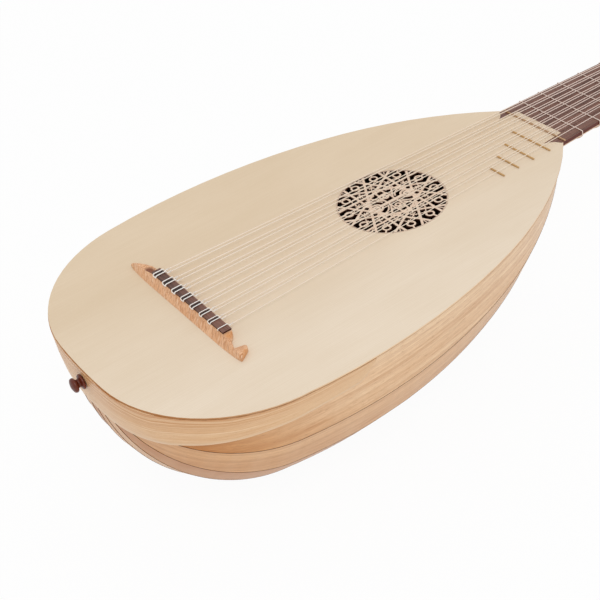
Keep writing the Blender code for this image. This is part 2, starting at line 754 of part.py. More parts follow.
def make_peg(i):
    side = peg_side(i)
    d = peg_place(i)
    half = box_half(d)
    _, py, pz = box_point(d, PEG_LEVEL)
    grip = PEG_HEAD_HALF
    # Distance from the tip's cheek face, half width and half thickness
    shape = [(0.0, PEG_RADIUS_TIP - 0.4), (0.5, PEG_RADIUS_TIP), (2 * half, PEG_RADIUS_HEAD),
             (2 * half + 2.2, PEG_RADIUS_HEAD + 0.3), (2 * half + 3.4, 5.0), (2 * half + 4.6, 4.2)]
    rings = []
    for s, r in shape:
        rings.append((s, r, r))
    start = 2 * half + 6.5
    head = ((0.0, 0.62, 3.6), (0.2, 0.86, 3.4), (0.45, 1.0, 3.1), (0.7, 0.95, 2.8), (0.88, 0.7, 2.4),
            (1.0, 0.28, 1.6))
    for t, wide, thick in head:
        rings.append((start + PEG_HEAD_LENGTH * t, grip * wide, thick))
    out = []
    for s, wide, thick in rings:
        x = side * (s - half)
        ring = []
        for k in range(12):
            a = 2 * math.pi * k / 12
            dn, nn = wide * math.sin(a), thick * math.cos(a)
            _, y, z = box_point(d + dn, PEG_LEVEL + nn)
            ring.append((x, y, z))
        out.append(ring)
    add("peg_%02d" % (i + 1), *skin(out), "pear", origin=(0.0, py, pz), smooth=True)


def make_bridge():
    """The block with its two wings: a scoop beside the cap and a hook at the tip."""
    base = GAP
    block = BRIDGE_TOP - CAP_THICKNESS - GAP
    h = BRIDGE_HALF
    right = [(h, base), (h - 0.4, 2.6), (h - 1.3, 5.0), (h - 2.8, 6.6), (h - 4.6, 6.6), (h - 5.8, 5.4),
             (h - 7.4, 3.6), (h - 10.5, 2.5), (h - 15.0, 2.1), (h - 20.5, 2.2), (h - 25.0, 3.1),
             (h - 28.6, 4.8), (BRIDGE_HALF_BLOCK, block)]
    loop = right + [(-x, z) for x, z in reversed(right)]
    verts, faces = triangles([loop])

    def slim(x):
        return min(max((abs(x) - BRIDGE_HALF_BLOCK) / (h - BRIDGE_HALF_BLOCK), 0.0), 1.0)

    def rear(x, z):
        foot = BRIDGE_REAR_Y + 3.2 * slim(x) ** 2
        head = BRIDGE_FRONT_Y - CAP_WIDTH - 0.3 - 1.8 * slim(x)
        t = min(max((z - base) / (block - base), 0.0), 1.2)
        return foot + (max(head, foot + 1.0) - foot) * t

    def front(x):
        return BRIDGE_FRONT_Y + 0.2 - 4.0 * slim(x) ** 1.5

    add("bridge", *slab(verts, faces, lambda x, z: (x, front(x), z),
                        lambda x, z: (x, rear(x, z), z)), "pear")
    box("bridge_cap", -BRIDGE_HALF_BLOCK, BRIDGE_HALF_BLOCK, BRIDGE_FRONT_Y - CAP_WIDTH, BRIDGE_FRONT_Y,
        BRIDGE_TOP - CAP_THICKNESS, BRIDGE_TOP, "ebony")


def make_button():
    start = TAIL_Y + BOARD_OVERHANG - CLASP_GAP - CLASP_THICKNESS - GAP
    r = BUTTON_RADIUS
    shape = [(0.0, r * 0.84), (0.7, r), (2.2, r), (3.0, r * 0.78), (4.1, r * 0.64), (5.4, r * 0.72),
             (6.4, r * 0.98), (7.6, r), (9.0, r * 0.86), (10.2, r * 0.5), (BUTTON_LENGTH, r * 0.16)]
    rings = [[(q * math.sin(2 * math.pi * k / 20), start - s, BUTTON_Z + q * math.cos(2 * math.pi * k / 20))
              for k in range(20)] for s, q in shape]
    add("end_button", *skin(rings), "button", smooth=True)


def make_body_frets():
    for number, (x0, x1) in BODY_FRETS.items():
        y = STRING_LENGTH * 2 ** (-number / 12)
        box("body_fret_%02d" % number, x0, x1, y - BODY_FRET_WIDTH / 2, y + BODY_FRET_WIDTH / 2,
            GAP, GAP + BODY_FRET_HEIGHT, "neck")


def make_tied_frets():
    off = GAP + TIE_RADIUS
    for number in range(1, TIED_FRETS + 1):
        y = STRING_LENGTH * 2 ** (-number / 12)
        room = off + TIE_ROOM
        w = neck_half(y) + room
        points = [(w - 1.0, y, off), (w, y, off - 1.2)]
        for k in range(17):
            x, z = neck_edge(y, math.pi * k / 16, room)
            points.append((x, y, z))
        points += [(-w, y, off - 1.2), (-w + 1.0, y, off)]
        add("tied_fret_%02d" % number, *cord(points, TIE_RADIUS, 6, closed=True), "nylon",
            origin=(0.0, y, 0.0), smooth=True)


def strand(index, x_bridge, x_nut, radius):
    """One strand's route from its peg to the bridge's rear side, as points."""
    lift = GAP + radius
    d = peg_place(index)
    scale_nut = box_half(0.0) - CHEEK_THICKNESS - 1.0
    scale_peg = box_half(d) - CHEEK_THICKNESS - 1.0
    end_n = PEG_LEVEL - PEG_RADIUS_HEAD - lift
    x_peg = x_nut * scale_peg / scale_nut * 0.97
    front_d, front_n = 0.6, radius + GAP + 0.1
    nut_z = NUT_TOP + lift
    y_front = BRIDGE_FRONT_Y + lift + 0.2
    y_rear = BRIDGE_FRONT_Y - CAP_WIDTH - lift - 0.15
    top = BRIDGE_TOP + lift
    return [box_point(d, end_n, x_peg), box_point(front_d, front_n, x_nut * 0.995),
            (x_nut, STRING_LENGTH + NUT_THICKNESS - 0.9, nut_z - 0.05), (x_nut, STRING_LENGTH + 0.4, nut_z),
            (x_bridge, y_front + 0.6, STRING_LOW_Z), (x_bridge, y_front, STRING_LOW_Z + 0.9),
            (x_bridge, y_front, top - 0.7), (x_bridge, y_front - 0.7, top), (x_bridge, y_rear + 0.7, top),
            (x_bridge, y_rear, top - 0.7), (x_bridge, y_rear, BRIDGE_TOP - CAP_THICKNESS + 0.1)]


def make_courses():
    index = sum(len(pair) for pair in STRANDS_BRIDGE)
    middles = len(STRANDS_BRIDGE)
    first = -NUT_SPREAD + NUT_PAIR / 2
    for k, pair in enumerate(STRANDS_BRIDGE):
        centre = first + (NUT_SPREAD - first) * k / (middles - 1)
        radius = STRING_RADII[k]
        at_nut = [centre] if len(pair) == 1 else [centre - NUT_PAIR / 2, centre + NUT_PAIR / 2]
        routes = []
        for x_bridge, x_nut in zip(pair, at_nut):
            index -= 1
            routes.append(strand(index, x_bridge, x_nut, radius))
        if len(routes) == 2:
            points = routes[0] + list(reversed(routes[1]))
        else:
            points = routes[0]
        add("course_%d" % (middles - k), *cord(points, radius, 6), "nylon", smooth=True)


def main():
    clear_scene()
    make_soundboard()
    make_rose()
    make_ribs()
    make_clasp()
    make_neck_block()
    make_bar()
    make_neck()
    make_fingerboard()
    make_nut()
    make_cheeks()
    make_box_back()
    for i in range(PEG_COUNT):
        make_peg(i)
    make_bridge()
    make_button()
    make_body_frets()
    make_tied_frets()
    make_courses()


main()
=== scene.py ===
"""Renaissance lute, eight courses, lying on its back: looks, light and camera over the CAD frame.

Sizes are in millimetres in the frame of the soundboard: y is 0 where the strings' speaking length starts at
the bridge, and z is 0 on the soundboard's top. They repeat the part's own sizes.
"""
from math import atan2, copysign, cos, hypot, pi, radians, sin, sqrt, tan

import bmesh
import bpy
from mathutils import Matrix, Vector


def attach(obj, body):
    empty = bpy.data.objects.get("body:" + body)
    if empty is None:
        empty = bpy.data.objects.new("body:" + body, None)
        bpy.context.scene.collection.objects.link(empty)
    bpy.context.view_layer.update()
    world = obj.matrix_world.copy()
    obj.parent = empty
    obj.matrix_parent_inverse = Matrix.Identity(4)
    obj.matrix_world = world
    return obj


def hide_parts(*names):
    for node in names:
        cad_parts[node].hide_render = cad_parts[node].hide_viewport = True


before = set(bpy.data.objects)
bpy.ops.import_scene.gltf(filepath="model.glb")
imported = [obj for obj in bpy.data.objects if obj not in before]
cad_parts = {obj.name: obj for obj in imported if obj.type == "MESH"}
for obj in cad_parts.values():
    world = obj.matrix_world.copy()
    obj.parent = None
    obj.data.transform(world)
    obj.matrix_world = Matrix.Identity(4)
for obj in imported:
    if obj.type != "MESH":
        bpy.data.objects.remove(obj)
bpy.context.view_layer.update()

MM = 0.001
GAP = 0.3
BODY = "lute"

STRING_LENGTH = 600.0
BODY_LENGTH = 488.2
NECK_START_Y = STRING_LENGTH * 2 ** (-8 / 12) - 2.4
TAIL_Y = NECK_START_Y - BODY_LENGTH
ARC_RADII = tuple(BODY_LENGTH * share for share in (1.28998, 0.2548, 1.12023, 0.76655))
ARC_HEADINGS = (3.318, 83.159, 107.503, 134.158)
BOARD_THICKNESS = 1.7
BOARD_OVERHANG = 1.2
BOARD_UNDER = -(BOARD_THICKNESS + GAP)
ROSE_Y = TAIL_Y + 0.65342 * BODY_LENGTH
ROSE_RADIUS = 50.4

RIB_COUNT = 11
OUTER_RIB_DEG = 19.3
SECOND_RIB_DEG = 16.0
RIB_THICKNESS = 1.6
RIB_BULGE = 0.22
RIB_EDGE = 0.28
LINE_RADIUS = 0.36
DEPTH_SHAPE = (1.0879, 0.0639, -0.1264, -0.1481)
DEPTH_MIDDLE_Y = TAIL_Y + 0.49693 * BODY_LENGTH
DEPTH_SCALE = 0.51209 * BODY_LENGTH
DEPTH_EASE = 0.388
DEPTH_EASE_Y = TAIL_Y + 0.84514 * BODY_LENGTH
REST_FROM_Y = TAIL_Y + 0.38919 * BODY_LENGTH
REST_TO_Y = REST_FROM_Y + 32.0
RIB_END_HALF = 9.0
RIB_END_Y = NECK_START_Y - 2 * GAP
CLASP_THICKNESS = 1.4
CLASP_GAP = 0.45
CLASP_REACH = ((0.6, 38.5), (13.5, 36.8), (24.7, 33.5), (39.0, 31.5), (61.7, 28.2), (82.1, 25.4),
               (103.1, 23.8), (134.9, 21.2), (156.2, 19.8), (161.6, 19.0), (165.5, 16.8), (168.7, 14.2),
               (171.6, 9.6), (175.0, 6.2), (177.6, 3.4))
CLASP_CENTRE_Y = TAIL_Y + 0.45596 * BODY_LENGTH
CLASP_SEARCH = 260.0
CLASP_HALVINGS = 40

NECK_HALF_START = 42.3
NECK_HALF_NUT = 33.0
NECK_DEPTH_START = 20.0
NECK_DEPTH_NUT = 17.0
NECK_ROUNDING = 1.5
FINGERBOARD_THICKNESS = 3.5
NUT_THICKNESS = 5.0
NUT_TOP = 1.0
NUT_HEIGHT = 8.0

BRIDGE_FRONT_Y = -2.0
BRIDGE_HALF_BLOCK = 56.5
BRIDGE_HALF = 88.0
BRIDGE_TOP = 8.3
CAP_THICKNESS = 1.5
CAP_WIDTH = 8.5
# How far the cap's dark strips, a painted shadow of the strands, stand proud
SHADOW_STRIP_RELIEF = 0.04

BUTTON_RADIUS = 7.2
BUTTON_LENGTH = 11.0
BUTTON_Z = -14.5
# Distance along the button, and its radius as a share of the largest
BUTTON_PROFILE = ((0.0, 0.76), (0.3, 0.86), (0.8, 0.92), (1.8, 0.92), (2.4, 0.84), (3.0, 0.62), (4.0, 0.5),
                  (5.2, 0.52), (6.0, 0.7), (6.7, 0.84), (7.6, 0.88), (8.6, 0.86), (9.4, 0.78), (10.0, 0.62),
                  (10.5, 0.4), (10.8, 0.22), (BUTTON_LENGTH, 0.04))

TILT = radians(10.0)
BOX_HALF_NUT = NECK_HALF_NUT
BOX_HALF_END = 20.0
CHEEK_THICKNESS = 4.0
PEG_COUNT = 15
PEG_HEAD_HALF = 8.2
PEG_HEAD_LENGTH = 23.0
WINDING_TURNS = 4

STRANDS_BRIDGE = ((-51.9, -47.5), (-36.4, -31.3), (-21.4, -16.4), (-6.6, -2.3), (8.0, 12.3), (22.2, 26.0),
                  (35.5, 39.2), (50.4,))
NUT_SPREAD = BOX_HALF_NUT - CHEEK_THICKNESS - 1.4
NUT_PAIR = 2.7
STRING_RADII = (0.5, 0.48, 0.46, 0.44, 0.42, 0.4, 0.38, 0.36)
STRING_LOW_Z = 6.6
WRAP_RADIUS = 0.26
WRAP_ROOM = 0.22
TIED_FRETS = 7
TIE_RADIUS = 0.45
TIE_ROOM = 0.4
TIE_LIFT = 0.1
KNOT_ROOM = 0.8

# Camera, solved from the frets, the rose, the outline and the rib lines
CAMERA_PLACE = (772.399, -343.804, 634.541)
CAMERA_TURN = (60.330, 37.642, -9.722)
CAMERA_FOCAL = 1271.907
PHOTO_WIDTH = 600.0

# Strengths of the dome and the floor's glow, the floor's half width, and the lamps in the frame's metres
DOME = 0.72
FLOOR_GLOW = 0.95
FLOOR_HALF = 12.0
LAMP_AIM = (0.0, 0.1, 0.12)
LAMPS = (("key", (1.3, -0.5, 1.95), 0.8, 13.0), ("fill", (-1.6, 0.8, 1.9), 1.8, 5.0))


# The outline and the bowl's surface

def arc_chain(inset):
    """The outline's arcs, each as centre x, centre y, radius, first heading and last heading."""
    x, y, heading = 0.0, TAIL_Y + inset, 0.0
    arcs = []
    for radius, end in zip(ARC_RADII, ARC_HEADINGS):
        r = radius - inset
        end = radians(end)
        cx, cy = x - r * sin(heading), y + r * cos(heading)
        arcs.append((cx, cy, r, heading, end))
        x, y, heading = cx + r * sin(end), cy - r * cos(end), end
    return arcs


BOWL_ARCS = arc_chain(BOARD_OVERHANG)


def half_width(y):
    """The bowl's half width at y. The last arc serves beyond its own end too."""
    for cx, cy, r, _, end in BOWL_ARCS:
        if y <= cy - r * cos(end) or end == BOWL_ARCS[-1][4]:
            return max(cx + sqrt(max(r * r - (y - cy) ** 2, 0.0)), 0.0)


def outline_points(steps):
    """Points along the bowl's outline, with a number of steps for each arc."""
    out = [(0.0, BOWL_ARCS[0][1] - BOWL_ARCS[0][2])]
    for (cx, cy, r, start, end), count in zip(BOWL_ARCS, steps):
        for i in range(1, count + 1):
            h = start + (end - start) * i / count
            out.append((cx + r * sin(h), cy - r * cos(h)))
    return out


def free_depth(y):
    """The bowl's depth at y, before its flat stretch is cut off."""
    a, b, c, d = DEPTH_SHAPE
    s = (y - DEPTH_MIDDLE_Y) / DEPTH_SCALE
    t = max((y - DEPTH_EASE_Y) / (NECK_START_Y - DEPTH_EASE_Y), 0.0)
    return (a + b * s + c * s * s + d * s ** 3 - DEPTH_EASE * t ** 3) * half_width(y)


FLAT_DEPTH = min(free_depth(REST_FROM_Y), free_depth(REST_TO_Y))


def bowl_depth(y):
    return min(free_depth(y), FLAT_DEPTH)


def rib_lines():
    """Angles of the lines between the ribs, from the treble side down and round to the bass side."""
    rest = (180.0 - 2 * (OUTER_RIB_DEG + SECOND_RIB_DEG)) / (RIB_COUNT - 4)
    out = [0.0, OUTER_RIB_DEG, OUTER_RIB_DEG + SECOND_RIB_DEG]
    for _ in range(RIB_COUNT - 4):
        out.append(out[-1] + rest)
    out += [180.0 - OUTER_RIB_DEG, 180.0]
    return [radians(a) for a in out]


RIB_LINES = rib_lines()
BOWL_HEIGHT = FLAT_DEPTH * sin(RIB_LINES[RIB_COUNT // 2])
ORIGIN_Y = (REST_FROM_Y + REST_TO_Y) / 2


def place(p):
    """From the soundboard's millimetres to the frame's metres."""
    return Vector((p[0], p[1] - ORIGIN_Y, p[2] + BOWL_HEIGHT)) * MM


def bowl_point(y, angle):
    """A point of the bowl's round surface, at an angle from the treble side downwards."""
    return Vector((half_width(y) * cos(angle), y, -bowl_depth(y) * sin(angle)))


def facet_ratio(angle):
    """How far a flat rib lies from the centre, as a share of the round surface's distance."""
    for a, b in zip(RIB_LINES, RIB_LINES[1:]):
        if angle <= b + 1e-9:
            return cos((b - a) / 2) / cos(angle - (a + b) / 2)
    return 1.0


def surface_radius(turn, z, offset=0.0):
    """Distance from the strip's centre line to the bowl's flat ribs in a direction, and an offset."""
    low, high = 0.0, CLASP_SEARCH
    for _ in range(CLASP_HALVINGS):
        r = (low + high) / 2
        x, y = r * sin(turn), CLASP_CENTRE_Y - r * cos(turn)
        inside = False
        if y > TAIL_Y + BOARD_OVERHANG:
            w, deep = half_width(y), bowl_depth(y)
            inside = hypot(x / w, z / deep) < facet_ratio(atan2(-z / deep, abs(x) / w))
        low, high = (r, high) if inside else (low, r)
    return low + offset


def smooth(t):
    """An eased step from 0 to 1."""
    t = min(max(t, 0.0), 1.0)
    return t * t * (3.0 - 2.0 * t)


def spline(table, x):
    """A smooth curve through a table's points."""
    if x <= table[0][0]:
        return table[0][1]
    if x >= table[-1][0]:
        return table[-1][1]
    slopes = []
    for i in range(len(table)):
        lo, hi = max(i - 1, 0), min(i + 1, len(table) - 1)
        slopes.append((table[hi][1] - table[lo][1]) / (table[hi][0] - table[lo][0]))
    for i in range(len(table) - 1):
        (a, u), (b, v) = table[i], table[i + 1]
        if x <= b:
            h = b - a
            t = (x - a) / h
            return (u * (1 + 2 * t) * (1 - t) ** 2 + slopes[i] * h * t * (1 - t) ** 2
                    + v * t * t * (3 - 2 * t) + slopes[i + 1] * h * t * t * (t - 1))


# Materials

# How much of a colour of their own worn edges take on
EDGE_WEAR = 0.5


def srgb(*colour):
    """A colour given as three numbers from 0 to 255, as it looks on the screen."""
    shares = (v / 255.0 for v in colour)
    return (*(v / 12.92 if v <= 0.04045 else ((v + 0.055) / 1.055) ** 2.4 for v in shares), 1.0)


class Nodes:
    """Short calls for a tree of shader nodes."""

    def __init__(self, tree):
        self.tree = tree

    def node(self, kind, **settings):
        node = self.tree.nodes.new("ShaderNode" + kind)
        for key, value in settings.items():
            setattr(node, key, value)
        return node

    def link(self, out, into):
        self.tree.links.new(out, into)

    def put(self, socket, value):
        """Feeds a socket from another node's output, or gives it a number or a colour."""
        if hasattr(value, "is_output"):
            self.link(value, socket)
        else:
            socket.default_value = srgb(*value) if isinstance(value, tuple) else value

    def math(self, kind, a, b=0.0):
        node = self.node("Math", operation=kind)
        self.put(node.inputs[0], a)
        self.put(node.inputs[1], b)
        return node.outputs["Value"]

    def times(self, a, b):
        return self.math("MULTIPLY", a, b)

    def plus(self, a, b):
        return self.math("ADD", a, b)

    def seen(self):
        """1 for what the camera sees itself, in a reflection or through something clear."""
        path = self.node("LightPath").outputs
        return self.math("MAXIMUM", path["Is Camera Ray"],
                         self.math("MAXIMUM", path["Is Glossy Ray"], path["Is Transmission Ray"]))


class Graph(Nodes):
    """A material's nodes."""

    def __init__(self, name, rough=0.5, specular=0.5):
        self.mat = bpy.data.materials.new(name)
        self.mat.use_nodes = True
        super().__init__(self.mat.node_tree)
        self.shader = self.tree.nodes["Principled BSDF"]
        self.shader.inputs["Roughness"].default_value = rough
        self.shader.inputs["Specular IOR Level"].default_value = specular

    def coords(self, kind="Object", scale=(1, 1, 1), shift=(0, 0, 0)):
        source = self.node("TexCoord")
        mapping = self.node("Mapping")
        mapping.inputs["Scale"].default_value = scale
        mapping.inputs["Location"].default_value = shift
        self.link(source.outputs[kind], mapping.inputs["Vector"])
        return mapping.outputs["Vector"]

    def texture(self, kind, vector, **values):
        """A texture's strength, with its inputs given by name."""
        node = self.node(kind)
        self.link(vector, node.inputs["Vector"])
        for key, value in values.items():
            node.inputs[key.replace("_", " ").title()].default_value = value
        return node.outputs["Fac"]

    def noise(self, vector, *values):
        """A noise with some of scale, detail, roughness and distortion, in this order."""
        names = ("scale", "detail", "roughness", "distortion")
        return self.texture("TexNoise", vector, **dict(zip(names, values)))

    def grain(self, scale, *values):
        """Noise with its own scale along each axis of the object."""
        return self.noise(self.coords(scale=scale), 1.0, *values)

    def flow(self, scale, *values, shift=(0, 0, 0)):
        """Noise with its own scale along each direction of the piece's own surface."""
        return self.noise(self.coords("UV", scale, shift), 1.0, *values)

    def ramp(self, value, stops):
        node = self.node("ValToRGB")
        self.link(value, node.inputs["Fac"])
        ramp = node.color_ramp
        while len(ramp.elements) < len(stops):
            ramp.elements.new(0.5)
        for element, (at, level) in zip(ramp.elements, stops):
            element.position = at
            element.color = (level, level, level, 1.0)
        return node.outputs["Color"]

    def rise(self, value, low, high):
        """0 up to low and 1 from high on."""
        return self.ramp(value, ((low, 0.0), (high, 1.0)))

    def fall(self, value, low, high):
        """1 up to low and 0 from high on."""
        return self.ramp(value, ((low, 1.0), (high, 0.0)))

    def mix(self, factor, a, b, kind="MIX"):
        node = self.node("Mix", data_type="RGBA", blend_type=kind)
        for index, value in ((0, factor), (6, a), (7, b)):
            self.put(node.inputs[index], value)
        return node.outputs[2]

    def layer(self, base, value, low, high, amount, colour):
        """Lays some of a colour over base where value rises from low to high."""
        return self.mix(self.times(self.rise(value, low, high), amount), base, colour)

    def split(self, vector):
        node = self.node("SeparateXYZ")
        self.link(vector, node.inputs["Vector"])
        return node.outputs

    def done(self, colour, rough, bump):
        """Sets colour, roughness as (value, low, high) and bump as (height, strength, distance)."""
        self.put(self.shader.inputs["Base Color"], colour)
        value, low, high = rough
        self.put(self.shader.inputs["Roughness"], self.ramp(value, ((0.0, low), (1.0, high))))
        node = self.node("Bump")
        for key, given in zip(("Height", "Strength", "Distance"), bump):
            self.put(node.inputs[key], given)
        self.link(node.outputs["Normal"], self.shader.inputs["Normal"])
        return self.mat


def worn_edges(g, base, worn, radius=0.0012):
    """Mixes another colour in along edges, unevenly."""
    bevel = g.node("Bevel", samples=4)
    bevel.inputs["Radius"].default_value = radius
    dot = g.node("VectorMath", operation="DOT_PRODUCT")
    g.link(bevel.outputs["Normal"], dot.inputs[0])
    g.link(g.node("NewGeometry").outputs["Normal"], dot.inputs[1])
    edge = g.rise(g.math("SUBTRACT", 1.0, dot.outputs["Value"]), 0.02, 0.25)
    patch = g.ramp(g.noise(g.coords(), 90.0, 3.0), ((0.35, 0.2), (0.65, 1.0)))
    return g.mix(g.times(g.times(edge, patch), EDGE_WEAR), base, worn)


def facing_up(g):
    """A mask that is 1 on faces that look up and 0 on upright ones."""
    return g.rise(g.split(g.node("NewGeometry").outputs["Normal"])["Z"], 0.35, 0.75)


def multiplied_in(g, base, mask, colour):
    """Multiplies a colour in where the mask is 1."""
    return g.mix(mask, base, g.mix(1.0, base, colour, "MULTIPLY"))


def spruce():
    """The soundboard: fine even year rings along y, rays across them, and a browner edge."""
    g = Graph("spruce_board", 0.52, 0.3)
    x, y, z = g.split(g.coords())
    fine = g.grain((900, 14, 900), 5.0, 0.6)
    rings = g.texture("TexWave", g.coords(scale=(1, 0.02, 1)), scale=190.0, distortion=1.6, detail=3.0,
                      detail_scale=1.4)
    rings = g.ramp(rings, ((0.0, 0.0), (0.62, 0.12), (0.9, 1.0)))
    spacing = g.ramp(g.grain((9, 0.6, 9), 2.0), ((0.3, 0.2), (0.7, 1.0)))
    cloud = g.grain((11, 3.5, 11), 4.0, 0.6)
    rays = g.grain((260, 1200, 260), 2.0)
    base = g.mix(g.rise(cloud, 0.35, 0.65), (236, 220, 199), (228, 210, 186))
    base = g.mix(g.times(rings, g.times(spacing, 0.3)), base, (212, 188, 156))
    base = g.layer(base, fine, 0.35, 0.75, 0.26, (216, 194, 164))
    base = g.layer(base, rays, 0.62, 0.8, 0.16, (248, 238, 220))
    # The bass half is a little darker and warmer
    side = g.fall(g.plus(g.times(x, 5.0), 0.5), 0.0, 1.0)
    base = multiplied_in(g, base, g.times(side, 0.8), (247, 240, 228))
    base = worn_edges(g, base, (226, 196, 158))
    # The board's edge is end grain and glue, browner round the tail. Away from the tail its light colour is
    # partly painted light that lifts the upright edge out of its shade
    tail = g.fall(g.times(g.plus(y, 0.22), 3.0), 0.15, 0.5)
    edge = g.mix(tail, (246, 214, 176), (184, 124, 70))
    edge = g.layer(edge, fine, 0.4, 0.7, 0.3, (190, 140, 92))
    deep = g.times(g.math("SUBTRACT", BOWL_HEIGHT * MM, z), 1.0 / (BOARD_THICKNESS * MM))
    glue = g.times(g.rise(deep, 0.5, 0.7), g.ramp(cloud, ((0.4, 0.4), (0.6, 0.9))))
    edge = g.mix(glue, edge, (158, 104, 58))
    relief = g.plus(g.times(rings, 0.6), fine)
    return g.done(g.mix(facing_up(g), edge, base), (fine, 0.45, 0.62), (relief, 0.12, 0.0002))


def rose_wood():
    """The rose's own spruce: pinkish cream on top, and dark brown on the upright cut faces as painted shade
    inside the openings.
    """
    g = Graph("rose_spruce", 0.55, 0.25)
    fibre = g.grain((800, 40, 800), 4.0, 0.6)
    cloud = g.noise(g.coords(), 160.0, 3.0)
    cuts = g.noise(g.coords(), 900.0, 2.0)
    base = g.mix(cloud, (244, 226, 206), (232, 204, 180))
    base = g.layer(base, fibre, 0.45, 0.7, 0.4, (214, 176, 146))
    base = g.layer(base, cuts, 0.55, 0.7, 0.25, (190, 140, 104))
    # The upright cut faces are dark brown, a painted shade inside the narrow openings
    painted_shade_wall = g.mix(cloud, (92, 50, 34), (60, 30, 22))
    return g.done(g.mix(facing_up(g), painted_shade_wall, base), (fibre, 0.5, 0.65), (g.plus(fibre, cuts), 0.12, 0.0002))


def rib_wood(name, seed, light, dark, tail):
    """A rib's wood: streaks, fine wavy fibres and short pores along the rib, and painted shade towards the
    tail, below the capping strip.
    """
    g = Graph(name, 0.4, 0.3)
    shift = (seed * 3.7, seed * 1.3, seed * 0.9)
    broad = g.flow((2.2, 26, 1), 4.0, 0.55, 0.6, shift=shift)
    streak = g.flow((5, 240, 1), 4.0, 0.6, 0.4, shift=shift)
    fibre = g.flow((70, 1500, 1), 3.0, 0.6, 1.2, shift=shift)
    pores = g.flow((150, 1500, 1), 2.0, shift=shift)
    flame = g.flow((55, 9, 1), 3.0, 0.5, 0.8, shift=shift)
    base = g.mix(g.rise(broad, 0.34, 0.64), light, dark)
    base = g.layer(base, streak, 0.42, 0.66, 0.45, (198, 140, 90))
    base = g.layer(base, fibre, 0.42, 0.7, 0.45, (186, 136, 92))
    base = g.layer(base, pores, 0.62, 0.75, 0.55, (158, 104, 62))
    base = g.layer(base, flame, 0.45, 0.75, 0.14, (244, 214, 178))
    knots = g.flow((16, 130, 1), 3.0, 0.6, 0.6, shift=shift)
    base = g.layer(base, knots, 0.62, 0.72, 0.55, (196, 134, 80))
    # Painted shade towards the tail, below the capping strip: full on the first rib, faint on the others
    near = g.fall(g.times(g.split(g.coords("UV"))["X"], 3.0), 0.35, 0.75)
    base = multiplied_in(g, base, g.times(near, tail), (218, 180, 130))
    return g.done(base, (fibre, 0.32, 0.46), (g.plus(fibre, g.times(pores, 0.5)), 0.1, 0.0002))


def strip_wood():
    """The capping strip: wavy orange grain, and a lighter band along its lower edge."""
    g = Graph("capping_wood", 0.36, 0.45)
    v = g.split(g.coords("UV"))["Y"]
    wavy = g.flow((9, 0.5, 1), 3.0, 0.5)
    height = g.plus(v, g.times(g.math("SUBTRACT", wavy, 0.5), 0.5))
    line = g.node("TexNoise", noise_dimensions="1D")
    g.link(g.times(height, 26.0), line.inputs["W"])
    line.inputs["Scale"].default_value = 1.0
    line.inputs["Detail"].default_value = 3.0
    fibre = g.flow((60, 46, 1), 3.0, 0.6, 1.0)
    streak = g.flow((5, 7.5, 1), 4.0, 0.55, 0.5, shift=(2, 4, 0))
    pores = g.flow((240, 90, 1), 2.0)
    base = g.mix(g.rise(streak, 0.34, 0.66), (240, 204, 162), (228, 184, 136))
    # Darker waves follow the board's edge, most of all in the upper half and round the tail
    y = g.split(g.coords())["Y"]
    away = g.rise(g.times(g.plus(y, 0.2), 4.0), 0.15, 0.75)
    upper = g.ramp(v, ((0.2, 1.0), (0.6, 0.3)))
    upper = g.times(upper, g.math("SUBTRACT", 1.0, g.times(away, 0.75)))
    base = g.mix(g.times(away, 0.6), base, (238, 202, 160))
    waves = g.times(g.rise(line.outputs["Fac"], 0.44, 0.58), upper)
    base = g.mix(g.times(waves, 0.85), base, (198, 134, 76))
    base = g.layer(base, fibre, 0.42, 0.7, 0.3, (186, 130, 82))
    base = g.layer(base, pores, 0.62, 0.75, 0.45, (160, 104, 60))
    base = g.layer(base, v, 0.84, 0.93, 0.5, (236, 206, 170))
    return g.done(base, (fibre, 0.3, 0.44), (g.plus(fibre, g.times(line.outputs["Fac"], 0.5)), 0.1, 0.0002))


def along_wood(name, light, dark, line, axis="Y", rough=0.42, grain=0.45, edge=None, side=None, shine=0.45):
    """A plain wood, its grain along one axis. Its upright faces may take another colour, which on the
    fingerboard's sides is painted shade.
    """
    g = Graph(name, rough, shine)
    stretch = {"X": (0.06, 1, 1), "Y": (1, 0.06, 1), "Z": (1, 1, 0.06)}[axis]
    broad = g.grain(tuple(v * 60 for v in stretch), 3.0, 0.5, 0.4)
    streak = g.grain(tuple(v * 420 for v in stretch), 4.0, 0.6, 0.3)
    pores = g.grain(tuple(v * 2400 for v in stretch))
    base = g.mix(g.rise(broad, 0.3, 0.7), light, dark)
    base = g.layer(base, streak, 0.4, 0.7, grain, line)
    base = g.layer(base, pores, 0.62, 0.78, 0.35, line)
    if side:
        base = g.mix(facing_up(g), side, base)
    base = worn_edges(g, base, edge or light)
    return g.done(base, (streak, rough - 0.06, rough + 0.1), (g.plus(streak, pores), 0.1, 0.00015))


def painted_light_spot(g, centre, size):
    """A mask for painted light and shade: 1 at a place of the soundboard's millimetres, falling to 0 at its
    size.
    """
    total = 0.0
    for value, reach in zip(g.split(g.coords(shift=tuple(-v for v in place(centre)))), size):
        share = g.math("ABSOLUTE", g.math("DIVIDE", value, reach * MM))
        total = g.plus(g.math("POWER", share, 2.0), total)
    return g.fall(total, 0.35, 1.0)


